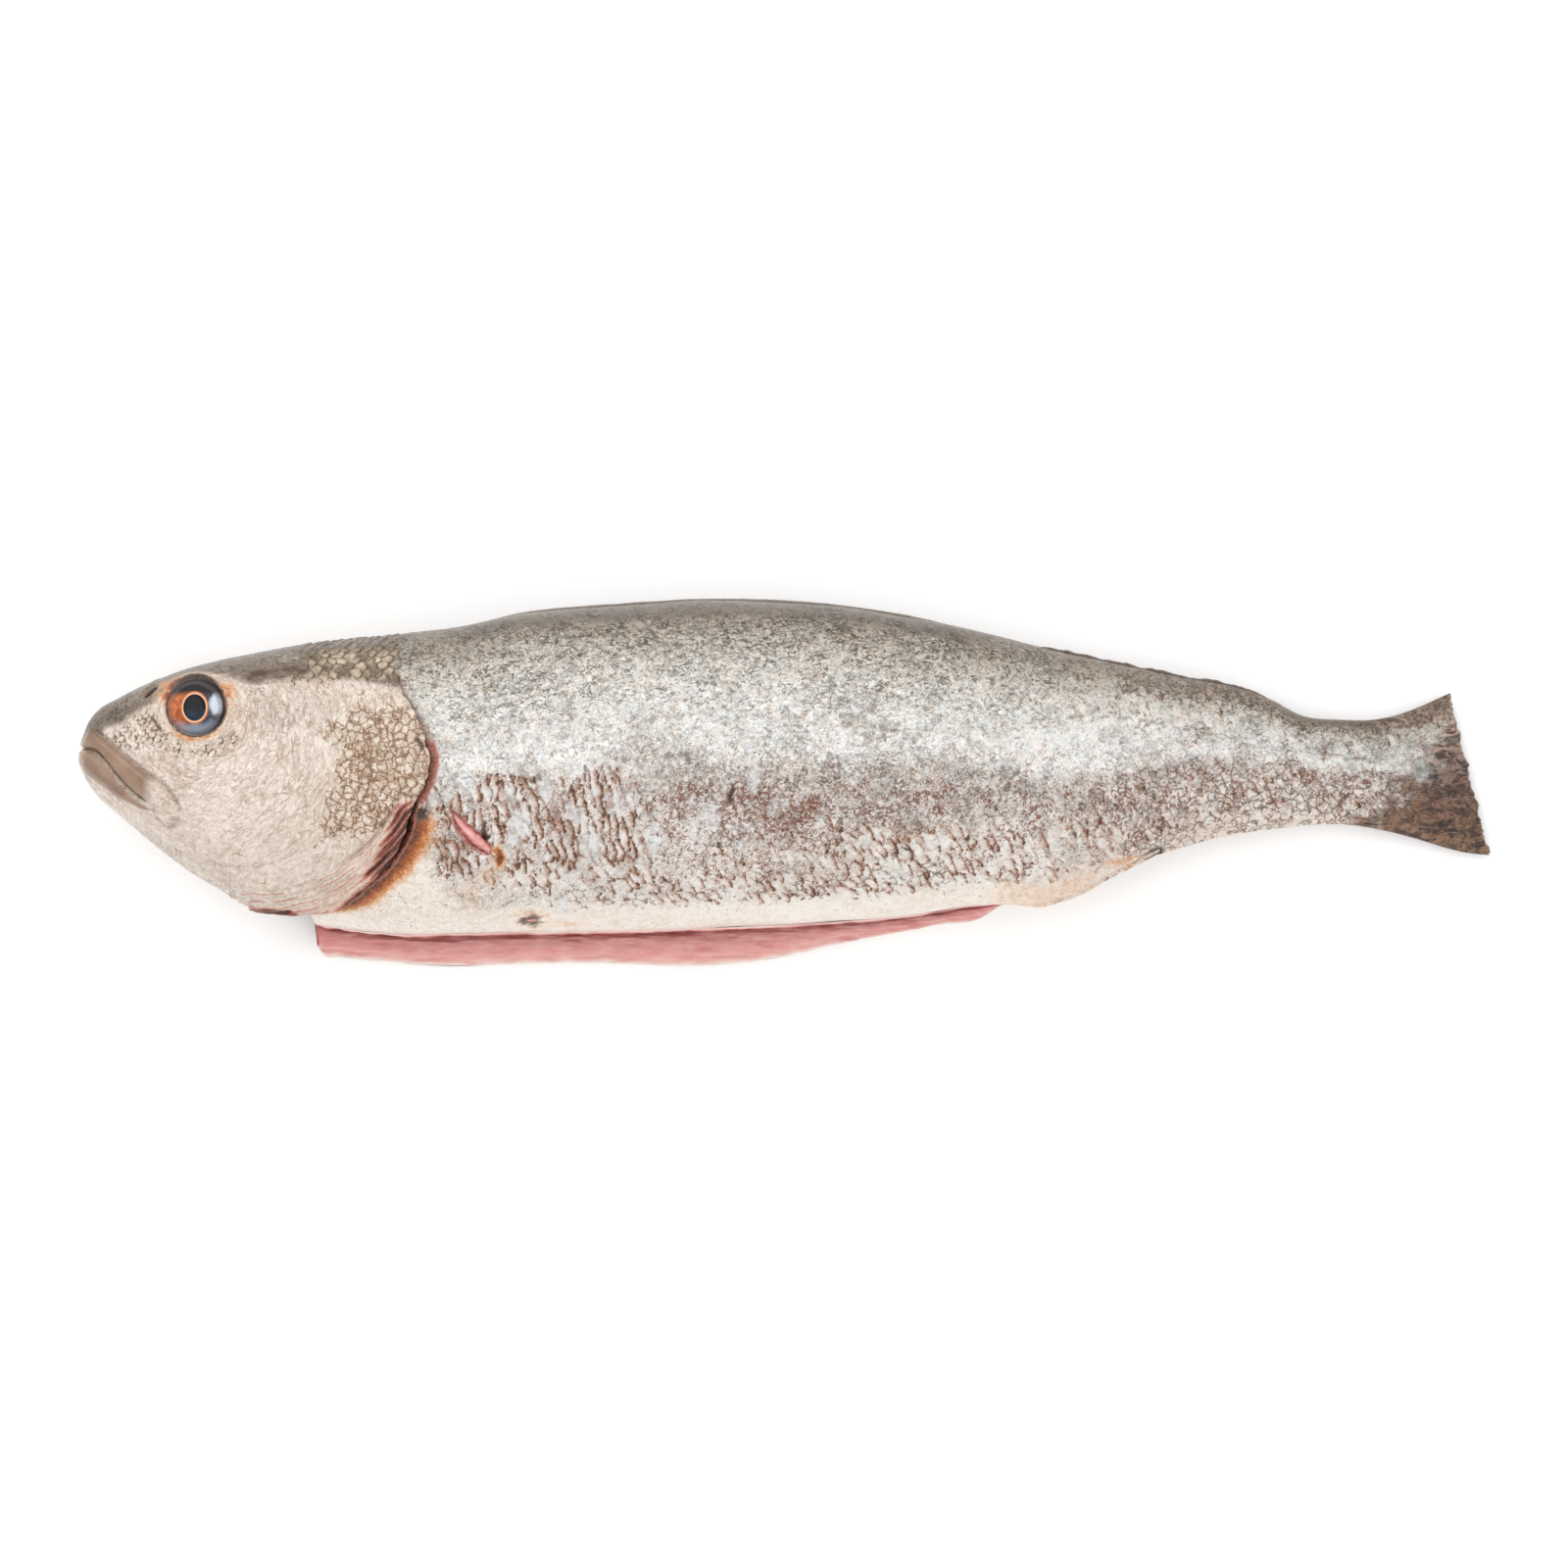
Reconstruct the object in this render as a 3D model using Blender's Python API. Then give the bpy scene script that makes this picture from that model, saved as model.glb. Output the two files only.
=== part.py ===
"""A whole gutted raw fish, fins trimmed, lying on its right side.

Units are metres. X runs from the snout (-X) to the tail (+X), Y from the slit belly (-Y) to the
back (+Y), and Z up from the surface that the fish lies on. The origin is the middle of the
fish's outline, on that surface.
"""

import math

import bmesh
import bpy
import numpy as np
from mathutils import Vector

# Driving sizes.
LENGTH = 0.450          # snout to the lower corner of the trimmed tail
NOSE_X = -LENGTH / 2    # station of the lips
TAIL_X = 0.484 * LENGTH  # nominal station of the trimmed tail edge, before it is slanted
SPINE_PLANE = 0.0272    # height of the fish's own middle plane over the table, at head and chest
GAP = 0.0003            # play between a piece and the socket that holds it

# The outline seen from the side: (station, height), both as shares of LENGTH. A station is
# counted from the lips, a height from the origin's level towards the back.
BACK_LINE = (
    (0.0000, 0.0200), (0.0030, 0.0340), (0.0075, 0.0450), (0.0150, 0.0535), (0.0280, 0.0610),
    (0.0420, 0.0680), (0.0700, 0.0790), (0.1110, 0.0905), (0.1670, 0.1000), (0.2220, 0.1055),
    (0.2640, 0.1105), (0.3200, 0.1215), (0.3750, 0.1260), (0.4580, 0.1300), (0.5140, 0.1280),
    (0.5700, 0.1215), (0.6250, 0.1110), (0.7080, 0.0915), (0.7780, 0.0770), (0.8330, 0.0655),
    (0.8520, 0.0578), (0.8680, 0.0495), (0.9000, 0.0460), (0.9200, 0.0458), (0.9400, 0.0492),
    (0.9610, 0.0560), (0.9840, 0.0655),
)
KEEL_LINE = (
    (0.0000, 0.0175), (0.0030, 0.0080), (0.0090, -0.0030), (0.0160, -0.0110), (0.0280, -0.0210),
    (0.0420, -0.0330), (0.0700, -0.0555), (0.0970, -0.0730), (0.1250, -0.0880), (0.1530, -0.0970),
    (0.1800, -0.1020), (0.2200, -0.1065), (0.3000, -0.1058), (0.4000, -0.1042), (0.4700, -0.1015),
    (0.5300, -0.0985), (0.5850, -0.0938), (0.6300, -0.0872), (0.6550, -0.0853), (0.6850, -0.0843),
    (0.7080, -0.0771), (0.7400, -0.0598), (0.7640, -0.0490), (0.8050, -0.0357), (0.8470, -0.0285),
    (0.8820, -0.0257), (0.9170, -0.0280), (0.9440, -0.0366), (0.9640, -0.0452), (0.9840, -0.0494),
)
# Half of the thickness from side to side, as shares of LENGTH.
HALF_THICKNESS = (
    (0.0000, 0.0060), (0.0030, 0.0150), (0.0150, 0.0250), (0.0420, 0.0370), (0.0830, 0.0480),
    (0.1250, 0.0560), (0.1800, 0.0605), (0.2300, 0.0625), (0.3000, 0.0650), (0.3800, 0.0662),
    (0.4600, 0.0650), (0.5500, 0.0590), (0.6400, 0.0500), (0.7200, 0.0380), (0.7800, 0.0285),
    (0.8300, 0.0215), (0.8700, 0.0160), (0.9100, 0.0115), (0.9500, 0.0072), (0.9840, 0.0042),
)
# How high the right flank's lowest line is over the table: the head and trunk lie on it, the
# tail root bridges, and the tail's edge comes down to it again.
CLEARANCE = (
    (0.0000, 0.0), (0.5000, 0.0), (0.6400, 0.0010), (0.7500, 0.0050), (0.8400, 0.0075),
    (0.9200, 0.0060), (0.9840, 0.0030),
)

# How far the right wall of the slit belly stands out past the left wall, likewise.
FLAP_REACH = (
    (0.1600, 0.0190), (0.1840, 0.0205), (0.2200, 0.0205), (0.2600, 0.0229), (0.3800, 0.0231),
    (0.4310, 0.0268), (0.4700, 0.0262), (0.5000, 0.0229), (0.5280, 0.0181), (0.5560, 0.0142),
    (0.6100, 0.0104), (0.6400, 0.0088), (0.6560, 0.0000), (0.6700, 0.0000),
)

# The head's rear edge on each side: over the nape, then down the gill cover's free edge from
# its notch to the throat.
HEAD_EDGE = (
    (0.2280, 0.1040), (0.2300, 0.0850), (0.2310, 0.0640), (0.2417, 0.0451), (0.2479, 0.0278),
    (0.2500, 0.0150), (0.2465, 0.0000), (0.2382, -0.0150), (0.2299, -0.0396), (0.2188, -0.0569),
    (0.1986, -0.0750), (0.1785, -0.0878), (0.1540, -0.0905), (0.1240, -0.0873),
)
OPENING_TOP = 0.29      # turn of the gill opening's upper end, as a share of half a turn
COVER_LIFT = 0.0013     # how far the gill cover's edge stands proud of the trunk
COVER_EDGE = 0.0009     # thickness of that edge
GILL_DEPTH = 0.0024     # depth of the opening under the edge
THROAT_DEPTH = 0.0100   # its depth at the throat
GILL_REACH = 0.0080     # how far it reaches forwards under the cover, as a share of LENGTH
NAPE_DIP = 0.0005       # how far the trunk's front dips under the nape's edge
CORE_SHARE = 0.4        # size of the head's hidden rear face next to its section
CORE_STATION = 0.150
TRUNK_FRONT = ((0.1000, -0.0080), (0.1400, -0.0080))  # hidden rings: (station, lift)

# The belly is slit open from the throat to the vent.
SLIT_FRONT = 0.1670     # station of the walls' front corners, as a share of LENGTH
SLIT_BACK = 0.6600
SLIT_CLOSING = 0.0900   # stretch over which the slit closes towards the vent
FLAP_TOP = 0.0052       # height of the right wall's cut edge over the table
SLIT_FLOOR = 0.0090     # height of the right wall's inner face at the slit's mouth
SLIT_OPENING = 0.0072   # height of the slit's mouth
WALL_EDGE = 0.0195      # height of the left wall's outer skin at its cut edge
CAVITY_DEPTH = 0.048    # from the left wall's cut edge in towards the backbone
CAVITY_SWELL = 0.0010   # how much further its roof and floor stand apart inside the slit

EYE_STATION = 0.0835
EYE_HEIGHT = 0.0570
EYE_RADIUS = 0.0096     # across, seen from the side
EYE_BULGE = 0.0062      # half of the eyeball's thickness from side to side
EYE_SINK = 0.0038       # how far the eyeball's middle lies under the skin

# The mouth's groove on each side, as (station, height, radius of the groove) shares of LENGTH.
MOUTH_LINE = (
    (0.0010, 0.0250, 0.0014), (0.0120, 0.0225, 0.0020), (0.0230, 0.0098, 0.0020),
    (0.0315, -0.0007, 0.0018), (0.0390, -0.0087, 0.0016), (0.0510, -0.0165, 0.0012),
)

NOSE_SHARE = 0.0006     # station of the first ring, whose cap is the tip of the nose
TAIL_SHARE = TAIL_X / LENGTH + 0.5
HEAD_RINGS = 24
TRUNK_RINGS = 42
FLANK_POINTS = 20       # points on a ring from the back line to the belly edge, on each side
BACK_FULLNESS = 0.82    # 1 makes a flank's section an ellipse, less makes it fuller
BELLY_FULLNESS = 0.95
TAIL_SLANT = 0.248      # how far the tail's edge leans back for each unit down
TAIL_SLANT_FROM = 0.900  # station where the slant begins to grow
TAIL_SHIFT = 0.0018


def smooth_line(points, stations):
    """Values of a cubic curve through (station, value) pairs.

    It is worked out over the square root of the station, which makes a round nose at station 0.
    """
    knots, values = np.array(points, float).T
    knots = np.sqrt(knots)
    at = np.sqrt(np.clip(stations, 0.0, None))
    slopes = np.gradient(values, knots)
    index = np.clip(np.searchsorted(knots, at) - 1, 0, len(knots) - 2)
    step = knots[index + 1] - knots[index]
    share = np.clip((at - knots[index]) / step, 0.0, 1.0)
    rise = values[index + 1] - values[index]
    start, end = slopes[index] * step, slopes[index + 1] * step
    return values[index] + share * (
        start + share * (3 * rise - 2 * start - end + share * (start + end - 2 * rise))
    )


def eased(value, low, high):
    """0 below low, 1 above high, and a smooth step between them."""
    share = np.clip((value - low) / (high - low), 0.0, 1.0)
    return share * share * (3 - 2 * share)


class Section:
    """The sizes of the fish's cross sections at some stations.

    split is 1 where the belly walls stand apart, as they do behind the throat, and 0 for the
    closed sections of the head.
    """

    def __init__(self, stations, split):
        stations = np.asarray(stations, float)
        slit = split * (1 - eased(stations, SLIT_BACK - SLIT_CLOSING, SLIT_BACK))
        self.back = LENGTH * smooth_line(BACK_LINE, stations)
        self.left_belly = LENGTH * smooth_line(KEEL_LINE, stations)
        reach = split * LENGTH * np.maximum(smooth_line(FLAP_REACH, stations), 0)
        self.right_belly = self.left_belly - reach
        self.half = LENGTH * smooth_line(HALF_THICKNESS, stations)
        clearance = LENGTH * smooth_line(CLEARANCE, stations)
        sinking = eased(stations, 0.48, 0.70)
        self.plane = (1 - sinking) * SPINE_PLANE + sinking * (self.half + clearance)
        blunt = np.minimum(0.35 * self.half, 0.0016)
        self.left_edge = (1 - slit) * (self.plane + blunt) + slit * WALL_EDGE
        self.notch = (1 - slit) * self.plane + slit * SLIT_FLOOR
        self.right_edge = (1 - slit) * (self.plane - blunt) + slit * FLAP_TOP
        self.widest = 0.5 * (self.back + self.left_belly) + 0.06 * (self.back - self.left_belly)

    def flank(self, turn, side, lift=0.0):
        """(height towards the back, height over the table) on a flank.

        turn runs from 0 at the back line to pi at the belly edge, side is 1 for the left flank,
        on top, or -1 for the right one, underneath, and lift moves the point outwards.
        """
        belly = self.left_belly if side > 0 else self.right_belly
        edge = self.left_edge if side > 0 else self.right_edge
        crest = self.plane + side * self.half
        on_back = turn < math.pi / 2
        reach = np.where(on_back, self.back - self.widest, self.widest - belly)
        base = np.where(on_back, self.plane, edge)
        power = np.where(on_back, BACK_FULLNESS, BELLY_FULLNESS)
        swell = np.clip(np.sin(turn), 0.0, 1.0) ** power
        across = reach * np.cos(turn)
        above = base + (crest - base) * swell - self.plane
        grow = 1 + lift / np.hypot(across, above)
        return self.widest + across * grow, self.plane + above * grow


def nominal_x(station, height):
    """X of a station, leaning back below the axis towards the tail's slanted edge."""
    slant = np.clip((station - TAIL_SLANT_FROM) / (TAIL_SHARE - TAIL_SLANT_FROM), 0, 1)
    return NOSE_X + LENGTH * station + slant * (TAIL_SHIFT - TAIL_SLANT * height)


def skin_point(station, height, side):
    """The point of the head's skin at a station and a height towards the back."""
    section = Section(station, 0)
    turns = np.linspace(0.0, math.pi, 400)
    y, z = section.flank(turns, side)
    nearest = int(np.argmin(np.abs(y - height)))
    return Vector((float(nominal_x(station, height)), height, float(z[nearest])))


def edge_station(turns):
    """The station of the head's rear edge along each turn of a flank."""
    edge = np.array(HEAD_EDGE)
    section = Section(edge[:, 0], 0)
    level = LENGTH * edge[:, 1] - section.widest
    reach = np.where(level > 0, section.back - section.widest, section.widest - section.left_belly)
    edge_turns = np.arccos(np.clip(level / reach, -1.0, 1.0))
    knots = np.arange(len(edge)) + 1.0
    fine = np.linspace(knots[0], knots[-1], 200)
    stations = smooth_line(np.column_stack([knots, edge[:, 0]]), fine)
    fine_turns = smooth_line(np.column_stack([knots, edge_turns]), fine)
    return np.interp(turns, np.maximum.accumulate(fine_turns), stations)


def ring(stations, turns, lift, split):
    """One closed loop of points, from the back line over the left flank and back underneath.

    stations and lift hold a value for each turn, or one for all of them.
    """
    section = Section(stations * np.ones_like(turns), split)
    left, right = (
        np.column_stack([nominal_x(stations, y), y, z])
        for y, z in (section.flank(turns, side, lift) for side in (1, -1))
    )
    inner_corner = [left[-1][0], max(left[-1][1], right[-1][1]), section.notch[-1]]
    return np.concatenate([left, [inner_corner], right[:0:-1]])


class Flank:
    """What changes around the gill opening, for each turn of a ring's points."""

    def __init__(self):
        self.turns = np.linspace(0.0, math.pi, FLANK_POINTS)
        share = self.turns / math.pi
        self.edge = edge_station(self.turns)
        self.opening = eased(share, OPENING_TOP - 0.04, OPENING_TOP + 0.08)
        self.throat = eased(share, 0.80, 1.0)
        self.proud = COVER_LIFT * self.opening * (1 - self.throat)
        self.depth = GILL_DEPTH + (THROAT_DEPTH - GILL_DEPTH) * self.throat


def head_rings():
    """Rings from the nose to the gill covers' edges, then round them and forwards inside."""
    flank = Flank()
    rings = []
    for share in np.linspace(0.0, 1.0, HEAD_RINGS):
        stations = NOSE_SHARE + (flank.edge - NOSE_SHARE) * share ** 1.5
        rings.append(ring(stations, flank.turns, flank.proud * eased(share, 0.75, 1.0), 0))
    rings.append(ring(flank.edge, flank.turns, flank.proud - COVER_EDGE, 0))
    inside = flank.edge - GILL_REACH * np.maximum(flank.opening, 0.2)
    rings.append(ring(inside, flank.turns, -1.2 * flank.depth - COVER_EDGE, 0))
    core = ring(CORE_STATION, flank.turns, 0.0, 0)
    rings.append(core.mean(axis=0) + CORE_SHARE * (core - core.mean(axis=0)))
    return rings


def trunk_rings():
    """Rings from inside the head, past the throat's step, to the tail's edge."""
    flank = Flank()
    rings = [ring(station, flank.turns, lift, 0) for station, lift in TRUNK_FRONT]
    rings.append(ring(SLIT_FRONT - 0.0010, flank.turns, -flank.depth, 0))
    for share in np.linspace(0.0, 1.0, TRUNK_RINGS):
        station = SLIT_FRONT + (TAIL_SHARE - SLIT_FRONT) * share ** 1.15
        covered = 1 - eased(station, flank.edge - 0.008, flank.edge + 0.003)
        lift = -NAPE_DIP * covered - (flank.depth - NAPE_DIP) * covered * flank.opening
        rings.append(ring(station, flank.turns, lift, 1))
    return rings


def material(name, colour, roughness, metallic=0.0):
    """A Principled BSDF with one colour."""
    made = bpy.data.materials.new(name)
    made.use_nodes = True
    shader = made.node_tree.nodes["Principled BSDF"]
    shader.inputs["Base Color"].default_value = (*colour, 1.0)
    shader.inputs["Roughness"].default_value = roughness
    shader.inputs["Metallic"].default_value = metallic
    return made


def linked(name, mesh, collection):
    """A new object with this mesh in this collection."""
    made = bpy.data.objects.new(name, mesh)
    collection.objects.link(made)
    return made


def loft(name, rings, collection):
    """A closed mesh through rings of equally many points, with a cap on each end."""
    work = bmesh.new()
    rows = [[work.verts.new(point) for point in points] for points in rings]
    for near, far in zip(rows, rows[1:]):
        for i, corner in enumerate(near):
            j = (i + 1) % len(near)
            work.faces.new((corner, near[j], far[j], far[i]))
    work.faces.new(rows[0])
    work.faces.new(rows[-1])
    bmesh.ops.recalc_face_normals(work, faces=work.faces)
    bmesh.ops.triangulate(work, faces=[face for face in work.faces if len(face.verts) > 4])
    mesh = bpy.data.meshes.new(name)
    work.to_mesh(mesh)
    work.free()
    return linked(name, mesh, collection)


def make_body(collection, cutters):
    """Head, trunk and tail stump in one piece."""
    body = loft("body", trunk_rings(), collection)
    head = loft("head_join", head_rings(), cutters)
    for piece in (body, head):
        piece.data.shade_smooth()
    body.data.materials.append(material("fish_skin", (0.55, 0.51, 0.46), 0.38, 0.10))
    combine(body, [head], "UNION")
    return body


def make_table_cutter(collection):
    """A slab whose top is the surface the fish lies on: it leaves the flat resting patch."""
    mesh = bpy.data.meshes.new("table_cutter")
    work = bmesh.new()
    bmesh.ops.create_cube(work, size=1.0)
    bmesh.ops.translate(work, vec=(0, 0, -0.5), verts=work.verts)
    bmesh.ops.scale(work, vec=(1.5 * LENGTH, LENGTH, 0.03), verts=work.verts)
    work.to_mesh(mesh)
    work.free()
    return linked("table_cutter", mesh, collection)


def make_cavity(collection):
    """The cutter for the gutted belly: a low, wide hollow, open along the slit."""
    front, back = SLIT_FRONT - 0.004, SLIT_BACK - 0.010
    rings = []
    for share in np.linspace(0.0, 1.0, 17):
        station = front + (back - front) * share
        section = Section(station, 1)
        lip = float(section.left_belly)
        floor = float(section.notch)
        taper = math.sqrt(max(0.02, 1 - (2 * share - 1) ** 4))
        depth = 0.010 + (CAVITY_DEPTH - 0.010) * taper
        x = float(nominal_x(station, lip))
        roof = floor + SLIT_OPENING * taper ** 0.5
        low, high = floor - CAVITY_SWELL, roof + CAVITY_SWELL
        rings.append([
            (x, lip - 0.016, floor - 0.0003),
            (x, lip - 0.016, roof),
            (x, lip, roof),
            (x, lip + 0.30 * depth, high),
            (x, lip + 0.75 * depth, high),
            (x, lip + 0.95 * depth, 0.75 * high + 0.25 * low),
            (x, lip + depth, (high + low) / 2),
            (x, lip + 0.95 * depth, 0.25 * high + 0.75 * low),
            (x, lip + 0.75 * depth, low),
            (x, lip + 0.30 * depth, low),
            (x, lip, floor + 0.0001),
        ])
    return loft("cavity_cutter", rings, collection)


def make_groove(name, path, side, collection):
    """A tapering tube along a line on the skin, as a mesh to cut with."""
    curve = bpy.data.curves.new(name, "CURVE")
    curve.dimensions = "3D"
    curve.bevel_depth = LENGTH
    curve.bevel_resolution = 2
    curve.use_fill_caps = True
    spline = curve.splines.new("POLY")
    count = 4 * len(path)
    spline.points.add(count - 1)
    shares = np.linspace(0, len(path) - 1, count)
    stations, heights, radii = (np.interp(shares, range(len(path)), line) for line in zip(*path))
    for point, station, height, radius in zip(spline.points, stations, heights, radii):
        place = skin_point(station, LENGTH * height, side)
        point.co = (*place, 1.0)
        point.radius = radius
    guide = linked(name + "_guide", curve, collection)
    graph = bpy.context.evaluated_depsgraph_get()
    mesh = bpy.data.meshes.new_from_object(guide.evaluated_get(graph))
    work = bmesh.new()
    work.from_mesh(mesh)
    bmesh.ops.remove_doubles(work, verts=work.verts, dist=0.00001)
    bmesh.ops.recalc_face_normals(work, faces=work.faces)
    work.to_mesh(mesh)
    work.free()
    groove = linked(name, mesh, collection)
    groove.matrix_world = guide.matrix_world
    bpy.data.objects.remove(guide)
    return groove


def make_eye(name, side, swelling, collection):
    """A flattened eyeball, set in the side of the head; swelling makes the socket's cutter."""
    place = skin_point(EYE_STATION, LENGTH * EYE_HEIGHT, side)
    place.z -= side * EYE_SINK
    mesh = bpy.data.meshes.new(name)
    work = bmesh.new()
    bmesh.ops.create_uvsphere(work, u_segments=20, v_segments=11, radius=1.0)
    flat = (EYE_RADIUS + swelling, EYE_RADIUS + swelling, EYE_BULGE + swelling)
    bmesh.ops.scale(work, vec=flat, verts=work.verts)
    work.to_mesh(mesh)
    work.free()
    mesh.shade_smooth()
    eye = linked(name, mesh, collection)
    eye.location = place
    eye.rotation_euler = (-side * math.radians(20), side * math.radians(-12), 0)
    return eye


def combine(target, others, operation):
    """Adds each other piece to the target, or takes it away."""
    for other in others:
        other.hide_render = True
        other.display_type = "WIRE"
        modifier = target.modifiers.new(other.name, "BOOLEAN")
        modifier.operation = operation
        modifier.solver = "EXACT"
        modifier.object = other


def main():
    for old in list(bpy.data.objects):
        bpy.data.objects.remove(old)
    fish = bpy.data.collections.new("whole_raw_fish")
    cutters = bpy.data.collections.new("cutters")
    for collection in (fish, cutters):
        bpy.context.scene.collection.children.link(collection)
    body = make_body(fish, cutters)
    eye_material = material("eye", (0.05, 0.05, 0.06), 0.08)
    tools = [make_table_cutter(cutters), make_cavity(cutters)]
    for label, side in (("left", 1), ("right", -1)):
        eye = make_eye("eye_" + label, side, 0.0, fish)
        eye.data.materials.append(eye_material)
        tools.append(make_eye("socket_cutter_" + label, side, GAP, cutters))
        tools.append(make_groove("mouth_cutter_" + label, MOUTH_LINE, side, cutters))
    combine(body, tools, "DIFFERENCE")


main()
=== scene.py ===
"""The looks of a whole gutted raw fish that lies on its right side.

Lengths are in metres unless a name ends in _mm. X runs from the snout to the tail, Y from the
slit belly to the back and Z up, as in the CAD frame. Many tables below hold (station, height)
pairs: shares of the fish's length, a station counted from the lips and a height from the
fish's axis towards its back.
"""

import logging
import math
from dataclasses import dataclass
from enum import Enum

import bmesh
import bpy
import numpy as np
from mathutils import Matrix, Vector


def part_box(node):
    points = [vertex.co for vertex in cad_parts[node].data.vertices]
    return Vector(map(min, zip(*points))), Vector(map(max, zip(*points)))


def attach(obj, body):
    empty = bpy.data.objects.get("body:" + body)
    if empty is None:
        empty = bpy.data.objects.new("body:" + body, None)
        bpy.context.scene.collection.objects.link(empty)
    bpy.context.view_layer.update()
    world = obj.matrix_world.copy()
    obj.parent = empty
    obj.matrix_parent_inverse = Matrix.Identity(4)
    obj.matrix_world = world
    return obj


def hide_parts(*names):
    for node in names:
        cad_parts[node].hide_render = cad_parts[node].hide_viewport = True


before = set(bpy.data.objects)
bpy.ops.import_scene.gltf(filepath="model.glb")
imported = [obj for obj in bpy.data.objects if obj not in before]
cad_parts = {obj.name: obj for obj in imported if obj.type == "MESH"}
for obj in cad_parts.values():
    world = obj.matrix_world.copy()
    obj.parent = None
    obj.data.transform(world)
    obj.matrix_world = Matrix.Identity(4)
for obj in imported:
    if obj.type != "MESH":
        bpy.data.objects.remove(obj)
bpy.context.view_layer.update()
LOG = logging.getLogger("raw_fish")

Array = np.ndarray
Spot = tuple[float, float, float, float, float]
Path = tuple[tuple[float, float], ...]
Colour = tuple[float, float, float]
Stops = tuple[tuple[float, Colour], ...]

BODY_LOW, BODY_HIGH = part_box("body")
LENGTH = round(BODY_HIGH.x - BODY_LOW.x, 3)
NOSE_X = -LENGTH / 2
NOSE_SHARE = 0.0006      # station of the nose's first ring
TAIL_SHARE = 0.984       # station of the trimmed tail's edge, before its slant
SPINE_PLANE = 0.0272     # height of the fish's own middle plane over the table
MILLIMETRE = 0.001


class Side(Enum):
    """The flank that shows, on top, and the one that the fish lies on."""

    LEFT = 1
    RIGHT = -1


def smooth_line(points: Path, stations: Array) -> Array:
    """A cubic curve through (station, value) pairs.

    It is worked out over the square root of the station, which makes a round nose at 0.

    Args:
        points: the pairs, in order.
        stations: where the curve is wanted.

    Returns:
        The curve's values.
    """
    knots, values = np.array(points, float).T
    knots = np.sqrt(knots)
    at = np.sqrt(np.clip(stations, 0.0, None))
    slopes = np.gradient(values, knots)
    index = np.clip(np.searchsorted(knots, at) - 1, 0, len(knots) - 2)
    step = knots[index + 1] - knots[index]
    share = np.clip((at - knots[index]) / step, 0.0, 1.0)
    rise = values[index + 1] - values[index]
    start, end = slopes[index] * step, slopes[index + 1] * step
    return values[index] + share * (
        start + share * (3 * rise - 2 * start - end + share * (start + end - 2 * rise))
    )


def eased(value: Array, low: float, high: float) -> Array:
    """0 below low, 1 above high, and s * s * (3 - 2 * s) of the share s between them."""
    share = np.clip((value - low) / (high - low), 0.0, 1.0)
    return share * share * (3 - 2 * share)


def bell(value: Array, centre: float, width: float) -> Array:
    """exp(-((value - centre) / width) ** 2): 1 at centre, fading over width."""
    return np.exp(-(((value - centre) / width) ** 2))


def between(value: Array, low: float, high: float, soft: float) -> Array:
    """1 from low to high, fading to 0 over soft on each side."""
    return eased(value, low - soft, low + soft) * (1 - eased(value, high - soft, high + soft))


def flowing(controls: Array, count: int) -> Array:
    """A Catmull-Rom curve through the controls, which lie along the first axis."""
    controls = np.asarray(controls, float)
    ends = (2 * controls[:1] - controls[1:2], 2 * controls[-1:] - controls[-2:-1])
    held = np.concatenate([ends[0], controls, ends[1]])
    at = np.linspace(0, len(controls) - 1, count)
    index = np.clip(at.astype(int), 0, len(controls) - 2)
    share = (at - index).reshape((-1,) + (1,) * (controls.ndim - 1))
    before, start, end, after = (held[index + step] for step in range(4))
    return 0.5 * (
        2 * start
        + (end - before) * share
        + (2 * before - 5 * start + 4 * end - after) * share ** 2
        + (3 * start - before - 3 * end + after) * share ** 3
    )


@dataclass(frozen=True)
class Grain:
    """Seeded gradient noise in the plane, with one lattice cell for each unit."""

    seed: int

    def at(self, u: Array, v: Array) -> Array:
        """Noise from about -1 to 1: fading sums of each corner's slope times the way to it."""
        angles = np.random.default_rng(self.seed).uniform(0, 2 * math.pi, (256, 256))
        cell_u, cell_v = np.floor(u).astype(int), np.floor(v).astype(int)
        way_u, way_v = u - cell_u, v - cell_v

        def corner(step_u: int, step_v: int) -> Array:
            """The share of one corner of the cell."""
            angle = angles[(cell_u + step_u) & 255, (cell_v + step_v) & 255]
            return np.cos(angle) * (way_u - step_u) + np.sin(angle) * (way_v - step_v)

        fade_u = way_u ** 3 * (way_u * (6 * way_u - 15) + 10)
        fade_v = way_v ** 3 * (way_v * (6 * way_v - 15) + 10)
        low = corner(0, 0) * (1 - fade_u) + corner(1, 0) * fade_u
        high = corner(0, 1) * (1 - fade_u) + corner(1, 1) * fade_u
        return 1.5 * (low * (1 - fade_v) + high * fade_v)

    def layered(self, u: Array, v: Array, octaves: int = 3, gain: float = 0.5) -> Array:
        """The sum of octaves of noise, each twice as fine and gain times as strong."""
        total, strength, most = 0.0, 1.0, 0.0
        for octave in range(octaves):
            scale = 2.0 ** octave
            total = total + strength * self.at(u * scale + 17.3 * octave, v * scale + 9.1 * octave)
            most += strength
            strength *= gain
        return total / most

    def ridges(self, u: Array, v: Array) -> Array:
        """Winding crests: 1 - |noise| of warped noise, from 0 to 1."""
        bend_u = 0.7 * self.at(0.6 * u + 40.2, 0.6 * v)
        bend_v = 0.7 * self.at(0.6 * u, 0.6 * v + 71.9)
        return 1 - np.clip(2.2 * np.abs(self.layered(u + bend_u, v + bend_v, 2)), 0, 1)


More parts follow.
